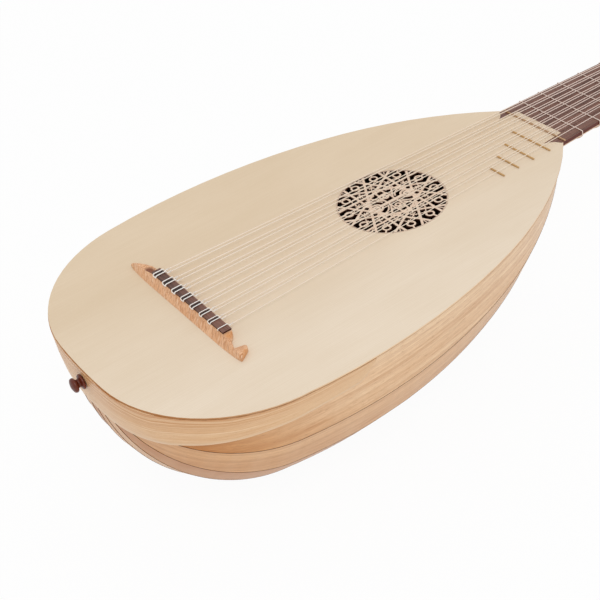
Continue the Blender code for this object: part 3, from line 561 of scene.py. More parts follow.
def bridge_wood():
    """Light reddish fruitwood with slanting flecks, painted shade in the bass wing's hollow, and painted
    light and shade at two places on the treble wing.
    """
    g = Graph("bridge_wood", 0.42, 0.4)
    broad = g.grain((30, 90, 90), 3.0, 0.5, 0.5)
    x, y, z = g.split(g.coords())
    slope = g.node("CombineXYZ")
    across = g.plus(x, g.times(z, 0.9))
    for index, (value, scale) in enumerate(((across, 1500.0), (y, 300.0), (z, 200.0))):
        g.link(g.times(value, scale), slope.inputs[index])
    flecks = g.noise(slope.outputs[0], 1.0, 3.0, 0.6, 0.8)
    slant = g.noise(slope.outputs[0], 0.45, 3.0, 0.5, 0.5)
    pores = g.grain((900, 3000, 3000), 2.0)
    base = g.mix(g.rise(broad, 0.3, 0.7), (234, 186, 144), (222, 166, 120))
    base = g.layer(base, slant, 0.5, 0.64, 0.6, (242, 208, 176))
    base = g.layer(base, flecks, 0.5, 0.6, 0.7, (164, 100, 54))
    base = g.layer(base, pores, 0.62, 0.75, 0.4, (150, 96, 58))
    # Painted shade in the bass wing's hollow, painted shade warmed by bounced light under the cap's treble
    # end, and painted light on the treble hook's end face
    for centre, size, amount, colour in (((-66.5, -7.5, 1.4), (8.0, 5.0, 4.0), 0.92, (112, 52, 16)),
                                         ((60.0, -5.0, 5.5), (4.0, 6.0, 3.0), 0.55, (206, 132, 60)),
                                         ((84.0, -8.0, 1.5), (5.5, 6.0, 5.0), 0.5, (214, 146, 84))):
        base = g.mix(g.times(painted_light_spot(g, centre, size), amount), base, colour)
    base = worn_edges(g, base, (236, 190, 148), 0.0006)
    return g.done(base, (flecks, 0.36, 0.5), (g.plus(flecks, pores), 0.15, 0.0002))


def bone():
    g = Graph("bone", 0.35, 0.5)
    cloud = g.noise(g.coords(), 120.0, 4.0)
    vein = g.grain((900, 900, 120), 3.0)
    base = g.mix(cloud, (238, 230, 210), (226, 214, 188))
    base = g.layer(base, vein, 0.6, 0.75, 0.4, (206, 190, 158))
    return g.done(base, (cloud, 0.28, 0.42), (vein, 0.08, 0.0001))


def string_material(name, light, dark, bridge=None):
    """Off-white gut or nylon. With a colour for the bridge, it is whiter where it is tied there."""
    g = Graph(name, 0.35, 0.4)
    band = g.grain((30, 3, 30))
    fine = g.grain((900.0, 900.0, 900.0))
    base = g.mix(band, light, g.mix(fine, light, dark))
    if bridge:
        along = g.plus(g.split(g.coords())["Y"], ORIGIN_Y * MM)
        base = g.mix(g.fall(g.times(along, 100.0), 0.0, 0.6), base, bridge)
        # Over the light board the clear strings take its colour, more so away from the bridge
        along = g.times(along, 2.0)
        over = g.ramp(along, ((0.1, 0.0), (0.4, 1.0), (0.74, 1.0), (0.78, 0.0)))
        base = g.mix(g.times(over, 0.6), base, (238, 220, 196))
        base = g.layer(base, along, 0.74, 0.78, 0.7, (226, 202, 192))
    return g.done(base, (fine, 0.24, 0.4), (fine, 0.1, 0.0001))


# Light and dark colour of three ribs in turn
RIB_TONES = (((252, 220, 182), (240, 198, 154)), ((246, 204, 156), (234, 184, 132)),
             ((218, 162, 104), (200, 138, 82)))
# Plain woods: name, light, dark and line colour, and what differs from the usual
WOODS = {
    # The bowl's inner faces are dark brown, a painted shade for the unlit hollow seen through the rose
    "inside": ("bowl_inside_painted_shade", (74, 44, 30), (58, 34, 24), (38, 22, 16), {"rough": 0.8, "shine": 0.1}),
    "neck": ("neck_wood", (238, 200, 168), (228, 184, 148), (196, 146, 106), {}),
    "box": ("pegbox_wood", (232, 192, 160), (220, 176, 140), (190, 140, 100), {"axis": "Z"}),
    "fret": ("fret_wood", (206, 166, 108), (188, 146, 90), (150, 108, 60),
             {"axis": "X", "shine": 0.3, "edge": (220, 186, 136)}),
    "joint_fret": ("joint_fret_wood", (200, 164, 128), (178, 140, 100), (140, 100, 66),
                   {"axis": "X", "shine": 0.3, "edge": (222, 192, 160)}),
    # The fingerboard's upright sides are dark red-brown, a painted shade along its edges
    "ebony": ("dark_board", (144, 100, 84), (110, 71, 58), (66, 37, 28),
              {"grain": 0.8, "edge": (124, 86, 74), "side": (92, 30, 14), "shine": 0.35}),
    "cap": ("dark_cap", (128, 86, 70), (88, 56, 45), (46, 26, 19),
            {"axis": "X", "rough": 0.45, "grain": 0.9, "edge": (128, 90, 76), "side": (62, 20, 8),
             "shine": 0.3}),
    # Near-black for the strips on the bridge cap, a painted shadow between each course's strands
    "mark": ("cap_painted_shadows", (40, 26, 22), (28, 18, 16), (14, 10, 8), {"axis": "X", "rough": 0.6}),
    "peg": ("peg_wood", (150, 92, 56), (126, 72, 42), (88, 48, 28),
            {"axis": "X", "rough": 0.34, "edge": (172, 112, 72)}),
    "button": ("button_wood", (112, 46, 22), (88, 32, 14), (52, 18, 8),
               {"rough": 0.34, "edge": (150, 76, 46), "shine": 0.35}),
    "line": ("joint_wood", (108, 62, 30), (84, 46, 20), (56, 30, 12), {"shine": 0.1}),
    "bar": ("bar_spruce", (226, 200, 164), (214, 184, 146), (190, 154, 114), {"axis": "X", "rough": 0.6}),
}
MAT = {}


def make_materials():
    MAT.update(spruce=spruce(), rose=rose_wood(), strip=strip_wood(), bridge=bridge_wood(), bone=bone(),
               string=string_material("string_clear", (244, 230, 214), (230, 212, 194), (250, 246, 240)),
               gut=string_material("fret_gut", (240, 222, 210), (222, 200, 184)))
    for number in range(1, RIB_COUNT + 1):
        light, dark = RIB_TONES[(number - 1) % len(RIB_TONES)]
        # The painted shade at the tail is full on the first rib only
        tail = 1.0 if number == 1 else 0.3
        MAT["rib_%02d" % number] = rib_wood("rib_wood_%02d" % number, number, light, dark, tail)
    for key, (name, light, dark, line, more) in WOODS.items():
        MAT[key] = along_wood(name, light, dark, line, **more)


# Mesh helpers

def stand(name, data):
    """A new object in the scene."""
    ob = bpy.data.objects.new(name, data)
    bpy.context.scene.collection.objects.link(ob)
    return ob


def piece(name, verts, faces, material, slot, body=BODY, replaces=(), uvs=None, flat=False, sharp=None):
    """A named piece with its points in the soundboard's millimetres."""
    mesh = bpy.data.meshes.new(name)
    mesh.from_pydata([place(v) for v in verts], [], faces)
    if uvs:
        layer = mesh.uv_layers.new(name="UVMap")
        for loop in mesh.loops:
            layer.data[loop.index].uv = uvs[loop.vertex_index]
    bm = bmesh.new()
    bm.from_mesh(mesh)
    bmesh.ops.recalc_face_normals(bm, faces=bm.faces)
    bm.to_mesh(mesh)
    bm.free()
    if not flat:
        mesh.shade_smooth()
        if sharp:
            mesh.set_sharp_from_angle(angle=radians(sharp))
    mesh.materials.append(MAT[material])
    ob = stand(name, mesh)
    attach(ob, body)
    if replaces:
        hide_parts(*replaces)
    return ob


def circle(count):
    """The sine and cosine of equal steps round a circle."""
    return [(sin(2 * pi * k / count), cos(2 * pi * k / count)) for k in range(count)]


def skin(rings, closed=False):
    """A surface over rings of points, with its ends filled unless it closes on itself."""
    n = len(rings[0])
    verts = [tuple(p) for ring in rings for p in ring]
    faces = []
    last = len(rings) if closed else len(rings) - 1
    for k in range(last):
        a, b = k * n, ((k + 1) % len(rings)) * n
        for i in range(n):
            j = (i + 1) % n
            faces.append((a + i, a + j, b + j, b + i))
    if not closed:
        faces.append(tuple(reversed(range(n))))
        faces.append(tuple(len(verts) - n + i for i in range(n)))
    return verts, faces


def join(parts):
    """One mesh from several (vertices, faces)."""
    verts, faces = [], []
    for v, f in parts:
        base = len(verts)
        verts.extend(v)
        faces.extend(tuple(i + base for i in face) for face in f)
    return verts, faces


def travel(pts, closed):
    """For each point of a line, the mean direction there and how far its bend narrows a section."""
    out = []
    for i, p in enumerate(pts):
        after = pts[(i + 1) % len(pts)] - p if closed or i < len(pts) - 1 else p - pts[i - 1]
        before = p - pts[i - 1] if closed or i else after
        along = (after.normalized() + before.normalized()).normalized()
        out.append((along, max(before.normalized().dot(along), 0.5)))
    return out


def tube(points, radius, sides=10, closed=False):
    """A round tube along points."""
    pts = [Vector(p) for p in points]
    rings = []
    normal = None
    for p, (along, bend) in zip(pts, travel(pts, closed)):
        if normal is None:
            normal = Vector((1, 0, 0)) if abs(along.x) < 0.9 else Vector((0, 0, 1))
        normal = (normal - along * normal.dot(along)).normalized()
        side = along.cross(normal)
        rings.append([p + (normal * c + side * s) * radius / bend ** 0.5 for s, c in circle(sides)])
    return skin(rings, closed)


def rounded(points, radius):
    """The points of a route with each corner replaced by a small arc."""
    pts = [Vector(p) for p in points]
    out = [pts[0]]
    for a, b, c in zip(pts, pts[1:], pts[2:]):
        r = min(radius, (b - a).length * 0.45, (c - b).length * 0.45)
        p, q = b + (a - b).normalized() * r, b + (c - b).normalized() * r
        for t in (0.0, 0.25, 0.5, 0.75, 1.0):
            out.append(p * (1 - t) ** 2 + b * 2 * t * (1 - t) + q * t * t)
    return out + [pts[-1]]


# The bowl

def bowl_places():
    """Places along the bowl, closer together where it curves most."""
    pts = [y for w, y in outline_points((3, 34, 16, 20)) if w > RIB_END_HALF and y < RIB_END_Y - 2]
    pts = [y for y in pts if min(abs(y - REST_FROM_Y), abs(y - REST_TO_Y)) > 3]
    cx, cy, r = BOWL_ARCS[0][:3]
    start = cy - sqrt(r * r - (RIB_END_HALF - cx) ** 2)
    return sorted(pts + [start, REST_FROM_Y, REST_TO_Y, RIB_END_Y])


def make_rib(number, places):
    """One hollow rib, slightly rounded outwards between its lines, with room for the dark line."""
    steps = 8
    first, last = number == 0, number == RIB_COUNT - 1
    a, b = RIB_LINES[number], RIB_LINES[number + 1]
    # The centre rib stays flat, as the lute rests on it
    bulge = 0.0 if number == RIB_COUNT // 2 else RIB_BULGE
    mitre = RIB_THICKNESS * tan((b - a) / 2) + 0.02
    rings, uvs = [], []
    travelled = 0.0
    before = None
    for k, y in enumerate(places):
        p, q = bowl_point(y, a), bowl_point(y, b)
        along = bowl_point(places[min(k + 1, len(places) - 1)], (a + b) / 2)
        along = along - bowl_point(places[max(k - 1, 0)], (a + b) / 2)
        across = (q - p).normalized()
        inward = across.cross(along).normalized()
        if inward.dot(Vector((0, ORIGIN_Y, 0)) - (p + q) / 2) < 0:
            inward = -inward
        # The outer ribs end under the board
        drop = across * (-BOARD_UNDER / max(abs(across.z), 0.2))
        p = p + drop if first else p
        q = q - drop if last else q
        width = (q - p).length
        edge = min(RIB_EDGE, width * 0.1)
        ring = [] if first else [p + across * 0.1 + inward * 0.3]
        for j in range(steps + 1):
            t = j / steps
            s = edge + (width - 2 * edge) * t
            ring.append(p + across * s - inward * bulge * sin(pi * t) * min(width / 20, 1.0))
        if not last:
            ring.append(q - across * 0.1 + inward * 0.3)
        ring.append(q - across * (0.0 if last else mitre) + inward * RIB_THICKNESS)
        ring.append(p + across * (0.0 if first else mitre) + inward * RIB_THICKNESS)
        if first:
            ring[0].z = min(ring[0].z, BOARD_UNDER)
            ring[-1].z = BOARD_UNDER
        if last:
            ring[steps + 1].z = min(ring[steps + 1].z, BOARD_UNDER)
            ring[-2].z = BOARD_UNDER
        middle = (p + q) / 2
        travelled += (middle - before).length if before else 0.0
        before = middle
        rings.append(ring)
        uvs.extend((travelled * MM, (v - p).dot(across) * MM) for v in ring)
    name = "rib_%02d" % (number + 1)
    rib = piece("bowl_" + name, *skin(rings), name, "rib_wood", replaces=(name,), uvs=uvs, sharp=35)
    # Faces turned inwards take the dark inside colour, painted shade of the unlit hollow
    rib.data.materials.append(MAT["inside"])
    for face in rib.data.polygons:
        inward = Vector((0.0, face.center.y, BOWL_HEIGHT * MM)) - face.center
        if face.normal.dot(inward.normalized()) > 0.4:
            face.material_index = 1


def make_ribs():
    places = bowl_places()
    for number in range(RIB_COUNT):
        make_rib(number, places)
    lines = []
    for number, angle in enumerate(RIB_LINES[1:-1], 1):
        # The two lines beside the centre rib lie deeper, so that the lute rests on the rib
        sink = 0.36 if number in (RIB_COUNT // 2, RIB_COUNT // 2 + 1) else 0.2
        pts = [bowl_point(y, angle) for y in places]
        pts = [p + (Vector((0, p.y, 0)) - p).normalized() * sink for p in pts]
        lines.append(tube(pts, LINE_RADIUS, 6))
    piece("rib_joint_lines", *join(lines), "line", "dark_wood")


def clasp_turns():
    """Directions of the strip's cross-sections, from one end round the tail to the other."""
    table = [atan2(half_width(TAIL_Y + t), CLASP_CENTRE_Y - (TAIL_Y + t)) for t, _ in CLASP_REACH[7:]]
    middle = [table[0] * (2.0 * i / 120 - 1.0) for i in range(1, 120)]
    ends = []
    for a, b in zip(table, table[1:]):
        ends += [a + (b - a) * i / 5 for i in range(5)]
    ends.append(table[-1])
    return [-t for t in reversed(ends)] + middle + ends


def make_clasp():
    """The capping strip round the tail, close to the ribs from the board's underside down."""
    rows = 12
    rings, uvs = [], []
    travelled = 0.0
    before = None
    shares = [j / rows for j in range(rows + 1)]
    for turn in clasp_turns():
        y = CLASP_CENTRE_Y - surface_radius(turn, BOARD_UNDER) * cos(turn)
        low = -spline(CLASP_REACH, y - TAIL_Y)
        outer, inner = [], []
        for share in shares:
            z = BOARD_UNDER + (low - BOARD_UNDER) * share
            near = surface_radius(turn, z, CLASP_GAP)
            # The lower edge is worn thinner
            worn = 0.45 if share == 1.0 else 0.0
            for target, d in ((outer, near + (CLASP_THICKNESS - worn)), (inner, near)):
                target.append(Vector((d * sin(turn), CLASP_CENTRE_Y - d * cos(turn), z)))
        travelled += (outer[0] - before).length if before else 0.0
        before = outer[0]
        rings.append(outer + inner[::-1])
        uvs.extend((travelled * MM, v) for v in shares + shares[::-1])
    piece("tail_capping_strip", *skin(rings), "strip", "strip_wood", replaces=("capping_strip",), uvs=uvs,
          sharp=35)


# Rose

def ribbon(points, half, high, edge, closed=False):
    """A flat strap along level points with bevelled upper edges, of one height or a list of heights."""
    pts = [Vector(p) for p in points]
    highs = high if isinstance(high, list) else [high] * len(pts)
    low = -BOARD_THICKNESS
    rings = []
    for p, top, (along, bend) in zip(pts, highs, travel(pts, closed)):
        side = Vector((along.y, -along.x)) / bend
        shape = ((-half, low), (-half, top - edge), (-half + edge, top), (half - edge, top),
                 (half, top - edge), (half, low))
        rings.append([(p.x + side.x * s, p.y + side.y * s + ROSE_Y, z) for s, z in shape])
    return skin(rings, closed)


def ring_points(cx, cy, r, count):
    return [(cx + r * s, cy + r * c) for s, c in circle(count)]


def polar(r, degrees):
    return r * sin(radians(degrees)), r * cos(radians(degrees))


# The broad and the thin straps: distance from the middle, half width, reach, depth of the weave, and half
# the thin ones' gap in the middle
ROSE_RIM = ROSE_RADIUS - 1.5
STRAPS = ((20.3, 1.2, ROSE_RIM + 0.4, 0.16, 0.0), (15.0, 0.5, 33.2, 0.2, 11.0),
          (26.6, 0.5, 42.0, 0.2, 12.0))
STRAP_WAVE = 8.6
# The figure in the middle, of which each strap comes four times: start, end, half width and height
FIGURE = (((1.8, 4.4), (13.6, 4.4), 0.8, -0.09), ((13.6, 3.6), (21.0, 3.6), 0.9, -0.12),
          ((4.4, 4.6), (16.4, 12.4), 0.9, -0.15), ((10.4, 5.0), (10.4, 9.0), 0.7, -0.13))
SCALLOP_Y = 17.2


def make_rose():
    """A carved knot rose: woven straps, twelve rings near the rim and a figure in the middle."""
    parts = []

    def strap(points, half, top, edge=0.2, closed=False):
        parts.append(ribbon(points, half, top, edge, closed))

    # Rim with its carved groove
    rim, out, low = ROSE_RIM, ROSE_RADIUS - 0.15, -BOARD_THICKNESS
    shape = ((rim, low), (rim, -0.3), (rim + 0.2, 0.0), (rim + 0.55, 0.0), (rim + 0.7, -0.25),
             (rim + 0.9, -0.25), (rim + 1.05, 0.0), (out, 0.0), (out, low))
    rings = [[(r * s, r * c + ROSE_Y, z) for r, z in shape] for s, c in circle(120)]
    parts.append(skin(rings, closed=True))
    # Twelve broad straps from rim to rim, and thin ones beside them that stop before the middle
    for at, half, reach, depth, free in STRAPS:
        h = sqrt(reach ** 2 - at ** 2)
        for k in range(12):
            s, c = polar(1.0, 30.0 * k)
            for e0, e1 in (((-h, -free), (free, h)) if free else ((-h, h),)):
                pts, highs = [], []
                steps = max(8, round((e1 - e0) / 1.3))
                for i in range(steps + 1):
                    e = e0 + (e1 - e0) * i / steps
                    pts.append((at * s + e * c, at * c - e * s))
                    # Heights swing so that each strap passes over one neighbour and under the next
                    wave = cos(pi * e / STRAP_WAVE + (0.0 if k % 2 else pi))
                    highs.append(-depth - 0.06 + depth * wave)
                strap(pts, half, highs, 0.22)
    # Rings near the rim and their ties
    for k in range(12):
        at = 15.0 + 30.0 * k
        strap(ring_points(*polar(41.4, at), 3.5, 24), 0.85, -0.02, 0.25, closed=True)
        for r0, r1, half in ((45.0, rim + 0.3, 0.8), (35.2, 37.8, 0.7)):
            strap([polar(r0, at), polar(r1, at)], half, -0.15, 0.25)
        strap([polar(44.0, 30.0 * k), polar(rim + 0.3, 30.0 * k)], 0.5, -0.12)
    # The middle: a double spine, a scallop in a crescent at each end, curls and windows at both sides
    for side in (-1, 1):
        strap([(side * 1.15, -13.0), (side * 1.15, 13.0)], 0.85, -0.08)
        strap(ring_points(side * 8.8, 0.0, 2.3, 20), 1.0, -0.03, 0.25, closed=True)
        strap([(side * 11.6, 0.0), (side * 14.2, 0.0)], 0.9, -0.12)
        strap([(side * 13.9, -5.0), (side * 13.9, 5.0)], 0.9, -0.1)
        for end in (-1, 1):
            for (x0, y0), (x1, y1), half, top in FIGURE:
                strap([(side * x0, end * y0), (side * x1, end * y1)], half, top)
            arc = [(sin(a), cos(a)) for a in (radians(v) for v in range(50, 161, 10))]
            strap([(side * 11.2 * s, end * (SCALLOP_Y + 10.6 * c)) for s, c in arc], 0.8, -0.1)
    for end in (-1, 1):
        strap(ring_points(0.0, end * SCALLOP_Y, 5.6, 36), 1.1, -0.02, 0.3, closed=True)
        strap(ring_points(0.0, end * SCALLOP_Y, 2.6, 24), 1.2, -0.05, 0.3, closed=True)
    piece("rose_carving", *join(parts), "rose", "spruce", replaces=("rose",), sharp=30)


# Bridge

# Distance from the middle and the front edge's y: an open hook on the treble wing, closed on the bass wing
FRONT_TREBLE = ((56.5, -2.0), (57.6, -2.5), (59.5, -4.0), (62.0, -6.2), (65.0, -8.1), (69.0, -9.6),
                (72.0, -10.1), (73.6, -9.6), (74.4, -7.8), (74.9, -5.6), (75.6, -3.9), (76.8, -2.9),
                (78.6, -2.6), (80.6, -3.4), (82.4, -5.3), (84.6, -8.4), (86.6, -11.4), (87.6, -13.0),
                (88.0, -13.9))
FRONT_BASS = ((56.5, -2.0), (60.0, -1.9), (65.0, -1.9), (69.0, -2.1), (73.0, -3.3), (77.7, -5.7),
              (82.0, -8.8), (85.0, -11.1), (87.0, -12.9), (88.0, -14.0))
# Heights along the front edge, of the floor between the edges, and along the rear edge
FRONT_TOP_TREBLE = ((56.5, 6.5), (57.4, 6.0), (59.0, 4.7), (61.5, 3.2), (65.0, 2.3), (70.0, 1.9),
                    (73.0, 2.1), (75.0, 3.0), (77.0, 3.9), (79.5, 4.3), (82.5, 4.2), (85.5, 3.7),
                    (88.0, 2.2))
FLOOR_TREBLE = ((56.5, 6.5), (58.0, 6.1), (60.5, 5.0), (64.0, 3.8), (69.0, 3.1), (73.0, 3.1), (77.0, 3.9),
                (81.0, 4.9), (84.0, 5.0), (86.5, 4.2), (88.0, 2.4))
FRONT_TOP_BASS = ((56.5, 6.5), (57.4, 5.6), (58.8, 4.0), (61.0, 3.1), (66.0, 2.8), (74.0, 3.0), (82.0, 3.6),
                  (86.0, 3.2), (88.0, 2.0))
FLOOR_BASS = ((56.5, 6.5), (57.6, 4.8), (59.0, 2.6), (61.5, 1.2), (66.0, 0.9), (70.0, 1.3), (74.0, 2.5),
              (78.0, 3.7), (82.0, 4.2), (86.0, 3.8), (88.0, 2.2))
REAR_TOP = ((56.5, 6.5), (60.0, 6.2), (66.0, 5.6), (72.0, 5.2), (78.0, 5.1), (83.0, 4.9), (86.0, 4.1),
            (88.0, 2.2))
# The rear edge's y at its top and at its foot
REAR_TOP_Y = ((56.5, -10.8), (65.0, -12.0), (75.0, -12.9), (83.0, -13.5), (88.0, -14.3))
REAR_FOOT_Y = ((56.5, -16.9), (65.0, -16.7), (75.0, -16.2), (82.0, -15.6), (86.0, -14.9), (88.0, -14.5))


def bridge_section(x):
    """The bridge's cross-section at x, from the front's foot over the top to the rear's foot."""
    base = GAP * 0.4
    out = max(abs(x), BRIDGE_HALF_BLOCK)
    wing = (FRONT_BASS, FRONT_TOP_BASS, FLOOR_BASS)
    if x > 0:
        wing = (FRONT_TREBLE, FRONT_TOP_TREBLE, FLOOR_TREBLE)
    front, top, floor = (spline(table, out) for table in wing)
    rear_top, rear_y, foot = (spline(table, out) for table in (REAR_TOP, REAR_TOP_Y, REAR_FOOT_Y))
    wide = front - rear_y
    r = min(0.5, wide * 0.2)
    ring = [(front, base), (front, top * 0.5), (front - r * 0.15, top - r * 0.8),
            (front - r * 0.5, top - r * 0.25), (front - r, top)]
    for share in (0.3, 0.45, 0.6, 0.75):
        bowl = sin(pi * share) ** 0.7
        level = top + (rear_top - top) * share
        ring.append((front - wide * share, level + (floor - level) * bowl))
    ring += [(rear_y + r, rear_top), (rear_y + r * 0.3, rear_top - r * 0.2),
             (rear_y - r * 0.1, rear_top - r * 0.9)]
    for share in (0.25, 0.5, 0.75):
        y = rear_y + (foot - rear_y) * share
        ring.append((y - 0.3 * sin(pi * share), (rear_top - r) * (1 - share) + base * share))
    ring.append((foot, base))
    return [(x, y, z) for y, z in ring]


def make_bridge():
    """The block and its two carved wings, and dark strips on the cap that are a painted shadow of the
    strands.
    """
    wing = [BRIDGE_HALF_BLOCK + (BRIDGE_HALF - BRIDGE_HALF_BLOCK) * i / 90 for i in range(1, 91)]
    xs = [-x for x in reversed(wing)] + [BRIDGE_HALF_BLOCK * i / 40 for i in range(-40, 41)] + wing
    rings = [bridge_section(x) for x in xs]
    piece("bridge_carved", *skin(rings), "bridge", "fruitwood", replaces=("bridge",), sharp=50)
    # Dark strips on the cap between the two strands of each course: a painted shadow of the strands
    shadow_strips = []
    ys = (BRIDGE_FRONT_Y - CAP_WIDTH - SHADOW_STRIP_RELIEF, BRIDGE_FRONT_Y + SHADOW_STRIP_RELIEF)
    zs = (BRIDGE_TOP - CAP_THICKNESS * 0.6, BRIDGE_TOP + SHADOW_STRIP_RELIEF)
    faces = [(0, 1, 3, 2), (4, 6, 7, 5), (0, 4, 5, 1), (2, 3, 7, 6), (0, 2, 6, 4), (1, 5, 7, 3)]
    for left, right in STRANDS_BRIDGE[:-1]:
        shadow_strips.append(([(x, y, z) for x in (left + 0.8, right - 0.8) for y in ys for z in zs], faces))
    piece("bridge_cap_painted_shadows", *join(shadow_strips), "mark", "dark_wood", flat=True)


# Neck, nut and button

def along_neck(y, at_start, at_nut):
    return at_start + (at_nut - at_start) * ((y - NECK_START_Y) / (STRING_LENGTH - NECK_START_Y))


def neck_half(y):
    return along_neck(y, NECK_HALF_START, NECK_HALF_NUT)


def neck_depth(y):
    return along_neck(y, NECK_DEPTH_START, NECK_DEPTH_NUT)


def neck_edge(y, turn, room=0.0):
    """A point (x, z) of the neck's section below the fingerboard, moved outwards by some room."""
    top = FINGERBOARD_THICKNESS + GAP
    power = 2 / NECK_ROUNDING
    x = (neck_half(y) + room) * copysign(abs(cos(turn)) ** power, cos(turn))
    return x, -top - (neck_depth(y) - top + room) * abs(sin(turn)) ** power


def make_neck():
    """The neck's shaft, whose far end leans with the pegbox."""
    rings = []
    for k in range(41):
        share = k / 40
        y = NECK_START_Y + (STRING_LENGTH - GAP - NECK_START_Y) * share
        lean = tan(TILT) * smooth((share - 0.8) / 0.2)
        section = [neck_edge(y, pi * i / 52) for i in range(53)]
        rings.append([(x, y - z * lean, z) for x, z in section])
    piece("neck_shaft", *skin(rings), "neck", "neck_wood", replaces=("neck",), sharp=40)


def strand_places():
    """(peg index, course, x at the bridge, x at the nut, radius) of the 15 strands."""
    out = []
    index = sum(len(pair) for pair in STRANDS_BRIDGE)
    first = -NUT_SPREAD + NUT_PAIR / 2
    for k, pair in enumerate(STRANDS_BRIDGE):
        centre = first + (NUT_SPREAD - first) * k / (len(STRANDS_BRIDGE) - 1)
        at_nut = [centre] if len(pair) == 1 else [centre - NUT_PAIR / 2, centre + NUT_PAIR / 2]
        for x_bridge, x_nut in zip(pair, at_nut):
            index -= 1
            out.append((index, len(STRANDS_BRIDGE) - k, x_bridge, x_nut, STRING_RADII[k]))
    return out


def make_nut():
    """The nut with a groove for each strand and rounded ends."""
    low = NUT_TOP - NUT_HEIGHT
    front, rear = STRING_LENGTH, STRING_LENGTH + NUT_THICKNESS
    lean = low * tan(TILT)
    half = NECK_HALF_NUT - 0.2
    rings = []
    for i in range(331):
        x = -half + 2 * half * i / 330
        dip = 0.0
        for _, _, _, groove, r in strand_places():
            share = abs(x - groove) / (r * 1.3)
            if share < 1:
                dip = max(dip, 0.28 * sqrt(1 - share ** 2))
        top = NUT_TOP - 0.5 * smooth(1 - (half - abs(x)) / 1.0)
        section = ((front, top - 0.8), (front + 0.25, top - 0.2 - dip), (front + 0.8, top - dip),
                   (rear - 1.6, top - dip), (rear - 0.6, top - 0.5 - dip), (rear, top - 1.6),
                   (rear - lean, low), (front - lean, low))
        rings.append([(x, y, z) for y, z in section])
    piece("nut_grooved", *skin(rings), "bone", "bone", replaces=("nut",), sharp=40)


def make_button():
    """The turned end button on the capping strip."""
    start = TAIL_Y + BOARD_OVERHANG - CLASP_GAP - CLASP_THICKNESS - GAP
    rings = []
    for i in range(56):
        s = BUTTON_LENGTH * i / 55
        r = BUTTON_RADIUS * max(spline(BUTTON_PROFILE, s), 0.02)
        rings.append([(r * sn, start - s, BUTTON_Z + r * cs) for sn, cs in circle(40)])
    piece("end_button_turned", *skin(rings), "button", "button_wood", replaces=("end_button",), sharp=40)


# Pegbox and pegs

def box_point(d, n, x=0.0):
    """A point of the pegbox's own frame: d down its length, n out of its open side and x across."""
    return (x, STRING_LENGTH + NUT_THICKNESS + d * sin(TILT) + n * cos(TILT),
            -d * cos(TILT) + n * sin(TILT))


BOX_LENGTH = BOWL_HEIGHT / cos(TILT)
PEG_PITCH = BOX_LENGTH / 17.40976
PEG_FIRST = 1.79348 * PEG_PITCH
PEG_RADIUS_HEAD = 0.402 * PEG_PITCH
PEG_RADIUS_TIP = 0.337 * PEG_PITCH
PEG_LEVEL = 1.3696 * PEG_PITCH


def box_half(d):
    return BOX_HALF_NUT + (BOX_HALF_END - BOX_HALF_NUT) * d / BOX_LENGTH


def box_room(d):
    """Half the width between the cheeks, less a little."""
    return box_half(d) - CHEEK_THICKNESS - 1.0


def peg_place(i):
    return PEG_FIRST + PEG_PITCH * i


def peg_side(i):
    return -1 if i % 2 == 0 else 1


def peg_radius(i, x):
    """The tapered shank's radius at x."""
    half = box_half(peg_place(i))
    t = min(max((x * peg_side(i) + half) / (2 * half), 0.0), 1.0)
    return PEG_RADIUS_TIP + (PEG_RADIUS_HEAD - PEG_RADIUS_TIP) * t


# Distance from the cheek and radius
PEG_NECK = ((0.0, PEG_RADIUS_HEAD), (1.2, PEG_RADIUS_HEAD), (2.0, PEG_RADIUS_HEAD + 0.2), (2.6, 4.5),
            (3.3, 5.0), (4.0, 4.6), (4.5, 3.7), (5.2, 3.2), (6.0, 3.4))
# Share of the head's length, with its half width as a share of the largest, and with its half thickness
PEG_HEAD_WIDE = ((0.0, 0.46), (0.06, 0.62), (0.2, 0.86), (0.33, 0.97), (0.45, 1.0), (0.58, 0.985),
                 (0.7, 0.93), (0.8, 0.82), (0.88, 0.66), (0.94, 0.48), (0.98, 0.3), (1.0, 0.1))
PEG_HEAD_THICK = ((0.0, 3.4), (0.06, 3.5), (0.2, 3.3), (0.33, 3.0), (0.45, 2.8), (0.58, 2.7), (0.7, 2.6),
                  (0.8, 2.5), (0.88, 2.3), (0.94, 1.9), (0.98, 1.4), (1.0, 0.6))
PIP = ((-0.8, 0.5), (-0.5, 1.3), (-0.1, 1.5), (0.15, 1.2), (0.3, 0.5))


